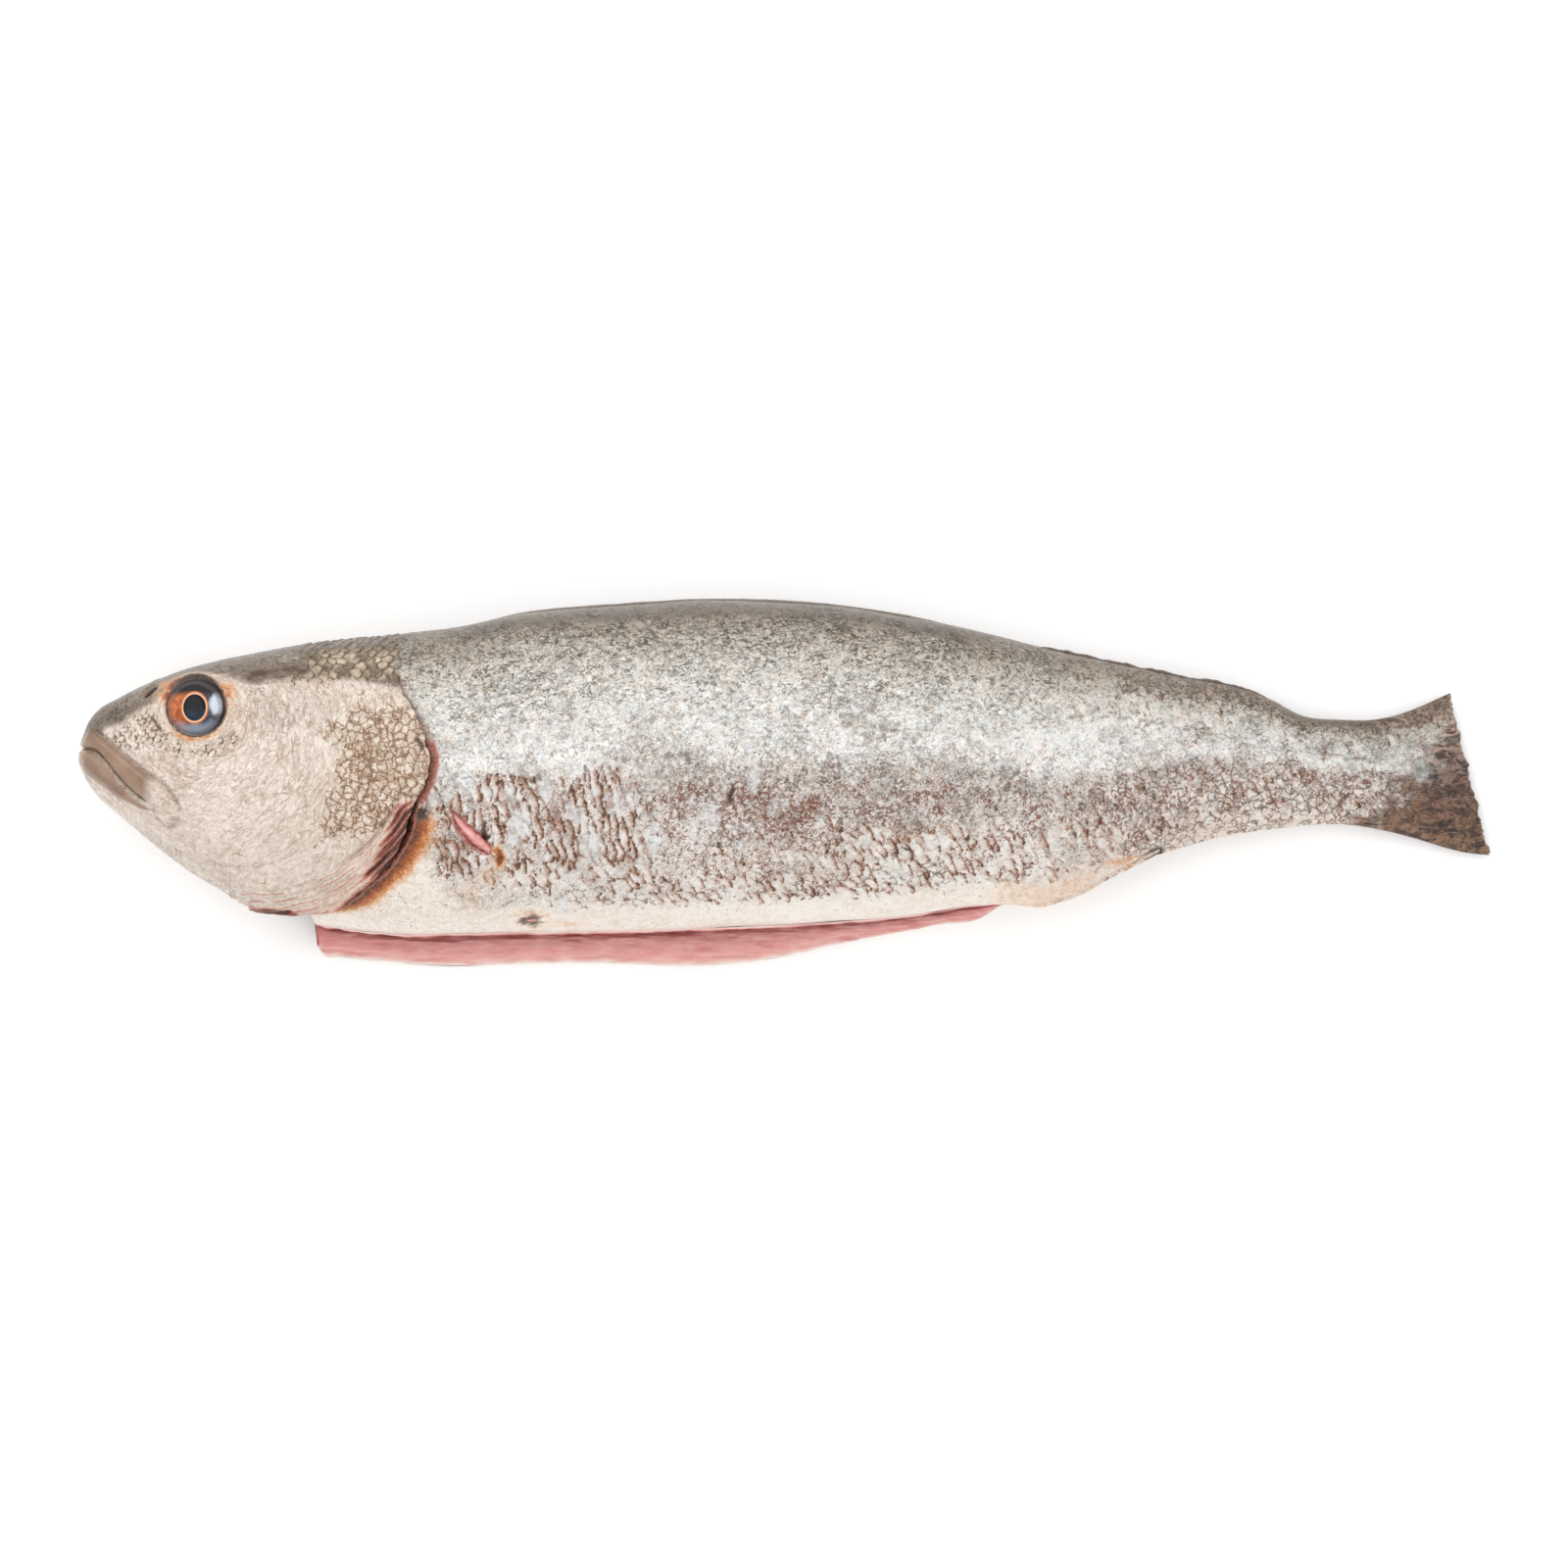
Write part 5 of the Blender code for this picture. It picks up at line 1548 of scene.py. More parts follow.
@dataclass
class Head:
    """The head down to the gill covers' free edges, with lips, nostrils, cheeks and folds."""

    columns: int = 330
    left_rows: int = 280
    right_rows: int = 110
    under_columns: int = 12      # columns that turn under the gill cover's edge
    cover_lift: float = 0.0014
    cover_edge: float = 0.0011
    crowding: float = 1.25       # above 1 gathers the columns towards the snout

    UPPER_LIP: Path = (
        (0.0021, 0.0257), (0.0042, 0.0333), (0.0090, 0.0389), (0.0146, 0.0361), (0.0243, 0.0292),
        (0.0389, 0.0167), (0.0507, 0.0076), (0.0618, -0.0007), (0.0694, -0.0090),
        (0.0736, -0.0174), (0.0743, -0.0222), (0.0715, -0.0278), (0.0660, -0.0312),
        (0.0604, -0.0285), (0.0556, -0.0222), (0.0535, -0.0153), (0.0472, -0.0118),
        (0.0389, -0.0056), (0.0306, 0.0028), (0.0222, 0.0132), (0.0146, 0.0215), (0.0083, 0.0243),
    )
    LOWER_LIP: Path = (
        (0.0007, 0.0229), (0.0083, 0.0236), (0.0146, 0.0201), (0.0222, 0.0111), (0.0306, 0.0007),
        (0.0389, -0.0076), (0.0472, -0.0139), (0.0535, -0.0181), (0.0486, -0.0184),
        (0.0403, -0.0149), (0.0292, -0.0098), (0.0194, -0.0027), (0.0104, 0.0043),
        (0.0035, 0.0108),
    )
    MOUTH: Path = ((0.0014, 0.0250), (0.0083, 0.0243), (0.0146, 0.0215), (0.0222, 0.0132),
                   (0.0306, 0.0028), (0.0389, -0.0056), (0.0472, -0.0118), (0.0535, -0.0153))
    LIP_GROOVE: Path = ((0.0090, 0.0389), (0.0146, 0.0361), (0.0243, 0.0292), (0.0389, 0.0167),
                        (0.0507, 0.0076), (0.0618, -0.0007), (0.0694, -0.0090),
                        (0.0736, -0.0174), (0.0743, -0.0222))
    LIP_END: Path = ((0.0743, -0.0222), (0.0715, -0.0278), (0.0660, -0.0312), (0.0604, -0.0285),
                     (0.0556, -0.0222), (0.0535, -0.0153))
    INNER_LIP: Path = ((0.0493, -0.0021), (0.0542, -0.0083), (0.0563, -0.0139), (0.0549, -0.0208))
    JAW: Path = ((0.0083, 0.0063), (0.0243, -0.0056), (0.0417, -0.0208), (0.0590, -0.0333),
                 (0.0729, -0.0403), (0.0868, -0.0472))
    CHEEK: Path = ((0.1729, 0.0437), (0.1708, 0.0222), (0.1674, 0.0056), (0.1639, -0.0104),
                   (0.1625, -0.0264), (0.1611, -0.0382), (0.1569, -0.0472), (0.1472, -0.0535),
                   (0.1333, -0.0576), (0.1146, -0.0590), (0.0938, -0.0556), (0.0764, -0.0500))
    COVER: Path = ((0.2104, 0.0681), (0.2208, 0.0667), (0.2306, 0.0639), (0.2361, 0.0542),
                   (0.2431, 0.0403), (0.2479, 0.0278), (0.2500, 0.0174), (0.2479, 0.0035),
                   (0.2417, -0.0042), (0.2292, -0.0139), (0.2174, -0.0299), (0.2028, -0.0437),
                   (0.1812, -0.0618), (0.1500, -0.0729), (0.1104, -0.0771))
    OPERCLE: Path = ((0.2424, 0.0010), (0.2368, -0.0055), (0.2278, -0.0125), (0.2201, -0.0264),
                     (0.2118, -0.0375), (0.2028, -0.0458), (0.1889, -0.0569), (0.1736, -0.0646))
    DARK_BAND: Path = ((0.1040, 0.0750), (0.1181, 0.0752), (0.1424, 0.0790), (0.1667, 0.0778),
                       (0.1880, 0.0736))
    CROWN: Path = ((0.0069, 0.0340), (0.0208, 0.0400), (0.0382, 0.0492), (0.0556, 0.0600),
                   (0.0764, 0.0752), (0.1076, 0.0778), (0.1264, 0.0729), (0.1528, 0.0750),
                   (0.1736, 0.0764), (0.2014, 0.0750), (0.2222, 0.0715), (0.2333, 0.0688))
    NOSTRIL: Path = ((0.0486, 0.0611), (0.0528, 0.0653), (0.0569, 0.0688))
    CREASE: Path = ((0.0500, 0.0507), (0.0556, 0.0451), (0.0597, 0.0396), (0.0618, 0.0347))
    EYE: tuple[float, float] = (0.0862, 0.0540)

    def grid(self) -> tuple[Sheet, Array, Array, Array]:
        """The bare form, with its last columns turned under the gill covers' edges.

        Returns:
            The sheet, each point's share of the way to the edge, its turn and its side.
        """
        fine = np.linspace(0, math.pi, self.left_rows)
        coarse = np.linspace(0, math.pi, self.right_rows)
        turns = np.concatenate([coarse[:0:-1], fine])
        on_left = np.arange(len(turns)) >= self.right_rows - 1
        share = np.concatenate([
            np.linspace(0, 1, self.columns - self.under_columns) ** self.crowding,
            np.full(self.under_columns, 1.0),
        ])
        under = np.concatenate([np.zeros(self.columns - self.under_columns),
                                np.linspace(0, 1, self.under_columns + 1)[1:]])
        turn, way = np.meshgrid(turns, share, indexing="ij")
        tuck = under[None, :] * np.ones_like(turn)
        edge = Section.head_edge(turns)[:, None]
        part = turn / math.pi
        opening = eased(part, 0.24, 0.36)
        throat = eased(part, 0.80, 1.0)
        scallop = 0.0020 * Grain(301).layered(turn * 13, 0 * turn + 0.7, 3)
        reach = edge + scallop * opening * (1 - throat)
        station = NOSE_SHARE + (reach - NOSE_SHARE) * way
        proud = self.cover_lift * opening * (1 - throat) * eased(way, 0.80, 1.0)
        curl = eased(tuck, 0.0, 0.45)
        station = station + 0.0012 * np.sin(math.pi * np.clip(tuck * 2.2, 0, 1)) * opening
        station = station - 0.010 * eased(tuck, 0.4, 1.0) * np.maximum(opening, 0.2)
        lift = proud - self.cover_edge * curl - 0.0030 * eased(tuck, 0.4, 1.0) * (1 + 2.4 * throat)
        section = Section(station, 0)
        flanks = {side: section.flank(turn, side, lift) for side in Side}
        side = np.where(on_left, 1, -1)[:, None] * np.ones_like(station)
        y, z = (np.where(side > 0, flanks[Side.LEFT][axis], flanks[Side.RIGHT][axis])
                for axis in (0, 1))
        droop = 0.0012 * bell(station, 0.150, 0.030) * eased(part, 0.82, 1.0)
        y = y - np.where(side < 0, droop, 0)
        sheet = Sheet(np.stack([Section.place_x(station, y), y, z], axis=-1), {})
        return sheet, way, turn, side

    def dressed(self) -> Sheet:
        """The form with its relief and the masks that its finish reads."""
        sheet, way, turn, side = self.grid()
        points = sheet.points
        x, y = points[..., 0], points[..., 1]
        u, v = (x - NOSE_X) / MILLIMETRE, (y - side * points[..., 2]) / MILLIMETRE
        at, level = (x - NOSE_X) / LENGTH, y / LENGTH
        part = turn / math.pi
        top, bottom = smooth_line(Section.BACK_LINE, at), smooth_line(Section.KEEL_LINE, at)
        share = np.clip((level - bottom) / np.maximum(top - bottom, 1e-3), 0, 1)

        upper, lower = (Patch(area).depth(x, y) for area in (self.UPPER_LIP, self.LOWER_LIP))
        hidden_end = 1 - eased(at - 0.3 * (level + 0.01), 0.044, 0.056)
        lip = np.maximum(eased(upper, -0.0005, 0.0007) * hidden_end,
                         eased(lower, -0.0005, 0.0007))
        mouth, mouth_share, _ = Line(self.MOUTH).near(x, y)
        closing = 1 - eased(mouth_share, 0.80, 1.0)
        gape = bell(mouth, 0, 0.0007) * closing
        groove = Line(self.LIP_GROOVE).stroke(x, y, 0.0009, 0.14)
        lip_end = Line(self.LIP_END).stroke(x, y, 0.0009, 0.20)
        inner = Line(self.INNER_LIP).stroke(x, y, 0.0006, 0.25)
        jaw = Line(self.JAW).stroke(x, y, 0.0007, 0.25)
        cheek, cheek_share, cheek_side = Line(self.CHEEK).near(x, y)
        cheek_fade = eased(cheek_share, 0, 0.15) * (1 - eased(cheek_share, 0.8, 1.0))
        cheek_line = bell(cheek, 0, 0.0008) * cheek_fade
        opercle = Line(self.OPERCLE).stroke(x, y, 0.0007, 0.30)
        crease = Line(self.CREASE).stroke(x, y, 0.0006, 0.3)
        nostril, nostril_share, _ = Line(self.NOSTRIL).near(x, y)
        nostril_size = 0.0008 * np.sqrt(np.clip(4 * nostril_share * (1 - nostril_share), 0.1, 1))
        hole = 1 - eased(nostril, 0.3 * nostril_size, 1.3 * nostril_size)

        cover, cover_share, cover_side = Line(self.COVER).near(x, y)
        below = cover * cover_side
        pleat = below / 0.0024 + 0.9 * Grain(303).layered(u / 16, v / 16, 2)
        pleated = eased(below, -0.0015, 0.0015) * eased(part, 0.55, 0.66)
        pleated = pleated * eased(cover_share, 0.20, 0.34)
        band = eased(below, -0.0002, 0.0012) * between(cover_share, 0.30, 0.66, 0.06)
        band = band * eased(part, 0.55, 0.60)

        eye_x, eye_y = (at - self.EYE[0]) * LENGTH, (level - self.EYE[1]) * LENGTH
        from_eye = np.hypot(eye_x, eye_y * 1.04)
        about_eye = np.arctan2(eye_y, eye_x)
        socket = 1 - eased(from_eye, 0.0079, 0.0094)
        lid = bell(from_eye, 0.0106, 0.0011)
        wrinkles = np.cos(2 * math.pi * (from_eye - 0.0115 + 0.0006 * np.sin(3 * about_eye))
                          / 0.0019)
        behind_eye = bell(from_eye, 0.0132, 0.0024) * bell(about_eye, -0.05, 0.75)

        swirl = np.arctan2(eye_x, -eye_y)
        flow = np.stack([from_eye, 0.42 * from_eye * swirl, points[..., 2]], axis=-1)

        crown_line, _, crown_side = Line(self.CROWN).near(x, y)
        crown = eased(crown_line * crown_side + 0.0012 * Grain(311).layered(u / 4, v / 4, 3),
                      -0.0032, 0.0016)
        # The crown's dark tone also covers the skin behind and above the eye.
        crown = np.maximum(crown, 0.30 * between(at, 0.115, 0.190, 0.02)
                           * between(level, 0.030, 0.075, 0.02))
        crown = crown * (1 - 0.5 * bell(from_eye, 0.0098, 0.0020))
        bend = 0.5 * Grain(313).layered(u / 6, v / 6, 2) * MILLIMETRE
        big = ScaleLattice(3.6 * MILLIMETRE, 3.6 * MILLIMETRE, 0.80, 0.22, 7)
        small = ScaleLattice(2.3 * MILLIMETRE, 2.2 * MILLIMETRE, 0.82, 0.26, 8)
        sway = 0.02 * Grain(315).layered(u / 12, v / 12, 2)
        gill_scales = eased(at + sway, 0.155, 0.205) * between(level, -0.045, 0.058, 0.020)
        nape_scales = eased(at + sway, 0.148, 0.165) * eased(level + 0.3 * sway, 0.068, 0.076)
        large = np.clip(gill_scales + nape_scales, 0, 1)
        snout = (1 - eased(at + sway, 0.050, 0.070)) * between(level, 0.022, 0.055, 0.008)
        snout = snout + bell(from_eye, 0.0150, 0.0035) * eased(-level, -0.050, -0.030)
        smooth_top = eased(crown_line * crown_side, -0.002, 0.002) * (1 - eased(at, 0.150, 0.165))
        top_strip = eased(share, 0.955, 0.985)
        calm = np.clip(lip + 0.8 * smooth_top + socket, 0, 1)
        is_large = (large > 0.5).astype(float)
        tilt, rim, tone, arc = (
            is_large * one + (1 - is_large) * other for one, other in zip(
                big.laid(u * MILLIMETRE + bend, v * MILLIMETRE - bend),
                small.laid(u * MILLIMETRE - bend, v * MILLIMETRE + bend)))
        drawn = 1 - 0.8 * eased(arc, 0.55, 0.95)
        gill_membrane = eased(part, 0.60, 0.66) * eased(way, 0.86, 0.93)

        crinkle = Grain(321).ridges(u / 2.0, v / 2.0)
        fine = Grain(323).ridges(u / 1.15, v / 1.15)
        relief = 0.5 * crinkle + 0.5 * fine - 0.62
        net = np.clip(0.55 * gill_scales + 0.90 * nape_scales + 0.60 * snout + 0.10, 0, 1)
        net = net * (1 - calm) * drawn * (1 - 0.9 * pleated) * (1 - top_strip)

        swell = 0.00040 * Grain(331).layered(u / 22, v / 22, 2) * eased(way, 0.05, 0.25)
        height = swell + (1 - calm) * (0.00018 * relief + tilt * (
            0.00008 + 0.00030 * large + 0.00022 * nape_scales))
        height = height + 0.0009 * eased(upper, 0.0, 0.0022) + 0.0009 * eased(lower, 0.0, 0.0022)
        height = height - 0.0018 * gape - 0.0009 * groove - 0.0006 * lip_end - 0.0003 * inner
        height = height - 0.0004 * jaw - 0.0005 * cheek_line - 0.0009 * opercle
        height = height + 0.0004 * bell(cheek, 0.0018, 0.0016) * cheek_fade * (cheek_side < 0)
        height = height - 0.00042 * np.cos(2 * math.pi * pleat) * pleated
        height = height - 0.0005 * crease - 0.0014 * hole
        height = height + 0.0004 * bell(nostril, 0.0018, 0.0008)
        height = height + 0.0006 * lid + 0.00030 * wrinkles * behind_eye
        height = height - 0.0046 * socket
        edge_roll = 0.0005 * bell(way, 0.985, 0.012) * eased(part, 0.28, 0.40)
        sheet.raise_by((height + edge_roll) * (way < 1))

        near_eye = between(from_eye, 0.0085, 0.0114, 0.0012)
        lower_lid = bell(about_eye, -1.75, 0.95) * bell(from_eye, 0.0105, 0.0014)
        front_lid = bell(np.abs(about_eye), 2.45, 0.60) * (about_eye > 0)
        rear_lid = bell(about_eye, 0.35, 0.75)
        uneven = np.clip(0.95 + 0.9 * Grain(343).layered(u / 4, v / 4, 2), 0.5, 1.4)
        stain = 0.50 * near_eye * np.clip(front_lid + 0.6 * rear_lid, 0, 1) + 0.36 * lower_lid
        stain = stain + 0.30 * front_lid * bell(from_eye, 0.0125, 0.0028)
        stain = stain + 0.24 * bell(from_eye, 0.0125, 0.0022) * rear_lid
        outer_side = eased(np.sin(turn), 0.20, 0.50)
        stain = stain * uneven * outer_side
        blotch = Grain(341).layered(u / 10, v / 10, 3)
        golden = np.maximum(1.1 * nape_scales * (1 - eased(level, 0.088, 0.098)),
                            0.30 * gill_scales)
        golden = golden * eased(tone + 0.8 * blotch, 0.20, 0.8) * eased(rim, 0.0001, 0.0009)
        stain = stain + 0.14 * eased(blotch, 0.12, 0.5) * between(level, -0.085, -0.02, 0.02)
        # Painted shade: dark in the nostrils and along the lip groove, the mouth, the crease, the
        # lip's end, the inner lip and the cheek line, where the skin is sunk.
        mark = np.maximum(0.9 * hole, 0.24 * groove)
        mark = np.maximum(mark, 0.42 * bell(mouth, 0, 0.0005) * closing)
        mark = np.maximum(mark, np.maximum(0.42 * crease, 0.16 * lip_end))
        mark = np.maximum(mark, np.maximum(0.16 * inner, 0.10 * cheek_line))
        # Painted shadow of the upper lid at the top of the eye's rim, and painted shade in a thin
        # ring where the eye meets the skin.
        mark = np.maximum(mark, 0.80 * bell(from_eye, 0.0098, 0.0009) * bell(about_eye, 1.6, 0.8))
        mark = np.maximum(mark, 0.45 * bell(from_eye, 0.0096, 0.0005) * outer_side)
        dark_band = Line(self.DARK_BAND).stroke(x, y, 0.0024, 0.30)
        mark = np.maximum(mark, 0.48 * dark_band * np.clip(0.8 + 2.2 * blotch, 0, 1.2))
        # Painted shade along the opercle's sunken line.
        mark = np.maximum(mark, 0.20 * opercle)
        flap = Line(((0.2382, 0.0292), (0.2424, 0.0312), (0.2458, 0.0268), (0.2452, 0.0200)))
        mark = np.maximum(mark, 0.46 * flap.stroke(x, y, 0.0009, 0.3))
        blood = 0.62 * band * (0.8 + 0.9 * blotch + 0.25 * np.cos(4.1 * below / MILLIMETRE))
        stripes = 0.80 + 0.35 * np.cos(3.3 * below / MILLIMETRE + 2.5 * blotch)
        before_slit = eased(way + 0.012 * blotch, 0.930, 0.975) * stripes
        before_slit = before_slit * between(level, -0.066, -0.014, 0.008)
        blood = np.maximum(blood, 0.92 * before_slit)
        rim_red = bell(way, 1.0, 0.02) * eased(part, 0.56, 0.66)
        blood = np.maximum(blood, 0.40 * rim_red)
        blood = np.maximum(blood, 0.14 * jaw)
        inside = np.where(way >= 1, eased(np.arange(self.columns) - self.columns
                                          + self.under_columns, 0, 4)[None, :], 0)
        blood = np.maximum(blood, 0.80 * inside * eased(part, 0.40, 0.5))
        blood = np.maximum(blood, 0.62 * (side < 0) * eased(part, 0.86, 0.92)
                           * eased(at, 0.105, 0.125))
        opened = 0.0066 * LENGTH * eased(at, 0.118, 0.150) * (side > 0)
        above_keel = (level - bottom) * LENGTH
        opened = (1 - eased(above_keel - opened, -0.0004, 0.0004)) * eased(at, 0.117, 0.122)
        opened = opened * (side > 0)
        blood = np.maximum(blood, opened * (0.56 + 0.30 * eased(above_keel, 0.0004, 0.0012)))
        # Painted shade: the upper part of the skin turned under the gill cover's edge is dark.
        mark = np.maximum(mark, 0.6 * inside * (1 - eased(part, 0.40, 0.5)))
        sheet.masks = {
            "share": share, "crown": crown, "lip": lip, "rim": rim, "net": net,
            # The relief mask goes into the colour as painted shade in hollows and highlight on
            # ridges.
            "large": large, "relief": relief * (1 - calm),
            "bare": calm * (1 - smooth_top * 0.5), "stain": stain, "blood": blood, "mark": mark,
            "socket": socket, "membrane": gill_membrane, "pleat": pleat, "pleated": pleated,
            "golden": golden, "smooth": top_strip, "flow": flow,
            "even": 0.20 + 0.35 * (1 - eased(level, -0.040, 0.010)) - 0.2 * large,
            "crumple": 0.16 + 0.84 * gill_scales * (1 - pleated) + 0.2 * blotch,
        }
        return sheet

    def build(self, finish: bpy.types.Material) -> list[bpy.types.Object]:
        """Makes the left half, with the keel that joins the halves, and the right half, each
        closed by a small round cap r * ring at the lips' tip."""
        sheet = self.dressed()
        keel = 0.5 * (sheet.points[-1] + sheet.points[0])
        sheet.points = np.concatenate([sheet.points, keel[None], sheet.points[:1]])
        sheet.masks = {name: np.concatenate([mask, mask[-1:], mask[:1]])
                       for name, mask in sheet.masks.items()}
        shading = sheet.normals()
        ring = sheet.points[:, :1]
        middle = ring.mean(axis=0, keepdims=True)
        r = np.array([0.0, 0.4, 0.75, 0.93])[None, :, None]
        cap = middle + (ring - middle) * r - np.array([0.00022, 0, 0]) * np.sqrt(1 - r ** 2)
        forward = (ring - middle) * r / np.linalg.norm(ring - middle, axis=2, keepdims=True)
        forward = 0.7 * forward + np.array([-1.0, 0, 0])
        forward = forward / np.linalg.norm(forward, axis=2, keepdims=True)
        sheet.points = np.concatenate([cap, sheet.points], axis=1)
        shading = np.concatenate([forward, shading], axis=1)
        sheet.masks = {name: np.concatenate([np.repeat(mask[:, :1], 4, axis=1), mask], axis=1)
                       for name, mask in sheet.masks.items()}
        back_row = self.right_rows - 1
        pieces = []
        for name, rows in (("left", slice(back_row, None)), ("right", slice(0, back_row + 1))):
            part = sheet.window(rows, slice(0, None))
            pieces.append(part.piece(f"head_skin_{name}", finish, shading[rows]))
        return [placed(piece, "body") for piece in pieces]


@dataclass(frozen=True)
class HeadFinish:
    """Thin beige-grey head skin: olive crown, smooth lips, golden scales, red gill folds."""

    name: str = "wet head skin"
    crinkle_mm: float = 0.95
    fold_mm: float = 2.1

    def material(self, effects: Effects) -> bpy.types.Material:
        """Builds the finish from the masks crown, lip, rim, net, large, relief, bare, stain,
        blood, mark, socket, membrane, pleat, pleated, golden, crumple, even and smooth."""
        made, graph, shader = new_material(self.name)
        place = graph.place()
        millimetres = graph.vector("SCALE", place, 1 / MILLIMETRE)
        flow = graph.put("ShaderNodeAttribute", attribute_name="flow").outputs["Vector"]
        fine = graph.use(effects.crinkle, Place=flow, Size=self.crinkle_mm)
        wide = graph.use(effects.crinkle, Place=place, Size=self.fold_mm, Warp=1.3)
        crackle = graph.use(effects.crackle, Place=place, Size=2.9,
                            Strength=graph.mask("crumple"))
        large = graph.mask("large")
        tone, crest, crease, height = (
            graph.maths("ADD",
                        graph.maths("MULTIPLY", fine.outputs[label],
                                    graph.maths("SUBTRACT", 1.0, graph.maths(
                                        "MULTIPLY", large, 0.6))),
                        graph.maths("MULTIPLY", wide.outputs[label],
                                    graph.maths("MULTIPLY", large, 0.6)))
            for label in ("Tone", "Crest", "Crease", "Height"))
        calmed = graph.maths("SUBTRACT", 1.0, graph.mask("even"))
        tone = graph.maths("ADD", 0.5, graph.maths("MULTIPLY", graph.maths(
            "SUBTRACT", tone, 0.5), calmed))
        crest, crease = (graph.maths("MULTIPLY", line, calmed) for line in (crest, crease))
        cloud = graph.noise(millimetres, 0.07, 3.0, 0.6).outputs["Fac"]
        cloud = graph.maths("SUBTRACT", cloud, 0.5)
        relief, bare, net = graph.mask("relief"), graph.mask("bare"), graph.mask("net")
        lightness = graph.maths("MULTIPLY_ADD", tone, 0.40)
        graph.feed(lightness.node.inputs[2], 0.42)
        # Painted highlight on crests, and painted shade in creases and in the relief's hollows.
        lightness = graph.maths("ADD", lightness, graph.maths("MULTIPLY", crest, 0.20))
        lightness = graph.maths("SUBTRACT", lightness, graph.maths("MULTIPLY", crease, 0.72))
        lightness = graph.maths("ADD", lightness, graph.maths("MULTIPLY", relief, 0.26))
        lightness = graph.maths("ADD", lightness, graph.maths("MULTIPLY", cloud, 0.6))
        lightness = graph.span(lightness, 0.0, 0.92)
        base = graph.blend(lightness, tint(178, 154, 136), tint(238, 226, 214))
        rough_scales = graph.blend(lightness, tint(158, 126, 98), tint(246, 237, 226))
        base = graph.blend(graph.maths("MULTIPLY", large, 0.7), base, rough_scales)
        crown_tone = graph.blend(lightness, tint(58, 46, 35), tint(144, 128, 110))
        crown = graph.maths("ADD", graph.mask("crown"), graph.maths("MULTIPLY", cloud, 0.5))
        base = graph.blend(graph.span(crown, 0.1, 0.9), base, crown_tone)
        golden = graph.blend(tone, tint(140, 116, 86), tint(240, 228, 206))
        base = graph.blend(graph.maths("MULTIPLY", graph.mask("golden"), 0.8), base, golden)
        strip = graph.blend(lightness, tint(88, 74, 62), tint(140, 128, 116))
        base = graph.blend(graph.maths("MULTIPLY", graph.mask("smooth"), 0.8), base, strip)
        lip_tone = graph.blend(graph.span(cloud, -0.25, 0.25), tint(102, 73, 55),
                               tint(154, 121, 96))
        base = graph.blend(graph.maths("MULTIPLY", graph.mask("lip"), 0.92), base, lip_tone)
        membrane = graph.blend(lightness, tint(196, 162, 144), tint(234, 216, 202))
        base = graph.blend(graph.maths("MULTIPLY", graph.mask("membrane"), 0.8), base, membrane)
        pleat = graph.noise(millimetres, 0.5, 2.0, 0.6).outputs["Fac"]
        pleat = graph.maths("ADD", graph.mask("pleat"), graph.maths("MULTIPLY", pleat, 0.30))
        pleat = graph.maths("ABSOLUTE", graph.maths("SUBTRACT", graph.maths("FRACT", pleat), 0.5))
        pleat = graph.span(pleat, 0.0, 0.17, 1.0, 0.0)
        shown = graph.noise(millimetres, 0.14, 2.0, 0.6).outputs["Fac"]
        shown = graph.maths("MULTIPLY", graph.span(shown, 0.36, 0.56), graph.mask("pleated"))
        pleat = graph.maths("MULTIPLY", pleat, shown)
        rim_mm = graph.maths("DIVIDE", graph.mask("rim"), MILLIMETRE)
        drawn = graph.use(effects.strokes, Rim=rim_mm, Strength=net, Width=0.80)
        stroke = drawn.outputs["Stroke"]
        base = graph.blend(graph.maths("MULTIPLY", drawn.outputs["Glow"], 0.40), base,
                           tint(172, 138, 96))
        base = graph.blend(graph.maths("MULTIPLY", stroke, 0.90), base, tint(66, 46, 30))
        crack = crackle.outputs["Line"]
        base = graph.blend(graph.maths("MULTIPLY", crackle.outputs["Halo"], 0.50), base,
                           tint(188, 142, 100))
        base = graph.blend(graph.maths("MULTIPLY", crack, 0.8), base, tint(98, 62, 38))
        stained = graph.use(effects.stains, Colour=base, Stain=graph.mask("stain"),
                            Blood=graph.mask("blood"), Mark=graph.mask("mark"))
        colour = graph.blend(graph.maths("MULTIPLY", pleat, 0.75), stained.outputs["Colour"],
                             tint(172, 96, 78))
        # Painted shade: the eye socket round and under the eyeball is near black.
        colour = graph.blend(graph.mask("socket"), colour, tint(30, 22, 20))
        graph.feed(shader.inputs["Base Color"], colour)
        graph.feed(shader.inputs["Roughness"],
                   graph.maths("ADD", graph.maths("MULTIPLY", crease, 0.10), 0.34))
        bump = graph.put("ShaderNodeBump")
        settle(bump, Strength=1.0, Distance=0.00020)
        calm = graph.maths("SUBTRACT", 1.0, graph.maths("MULTIPLY", bare, 0.8))
        height = graph.maths("MULTIPLY", height, calm)
        height = graph.maths("SUBTRACT", height, graph.maths("MULTIPLY", stroke, 0.5))
        height = graph.maths("SUBTRACT", height, graph.maths("MULTIPLY", pleat, 0.6))
        height = graph.maths("SUBTRACT", height, graph.maths("MULTIPLY", crack, 0.7))
        graph.feed(bump.inputs["Height"], height)
        graph.feed(shader.inputs["Normal"], bump.outputs["Normal"])
        settle(shader, Coat_Weight=0.22, Coat_Roughness=0.16, Specular_IOR_Level=0.45)
        return made


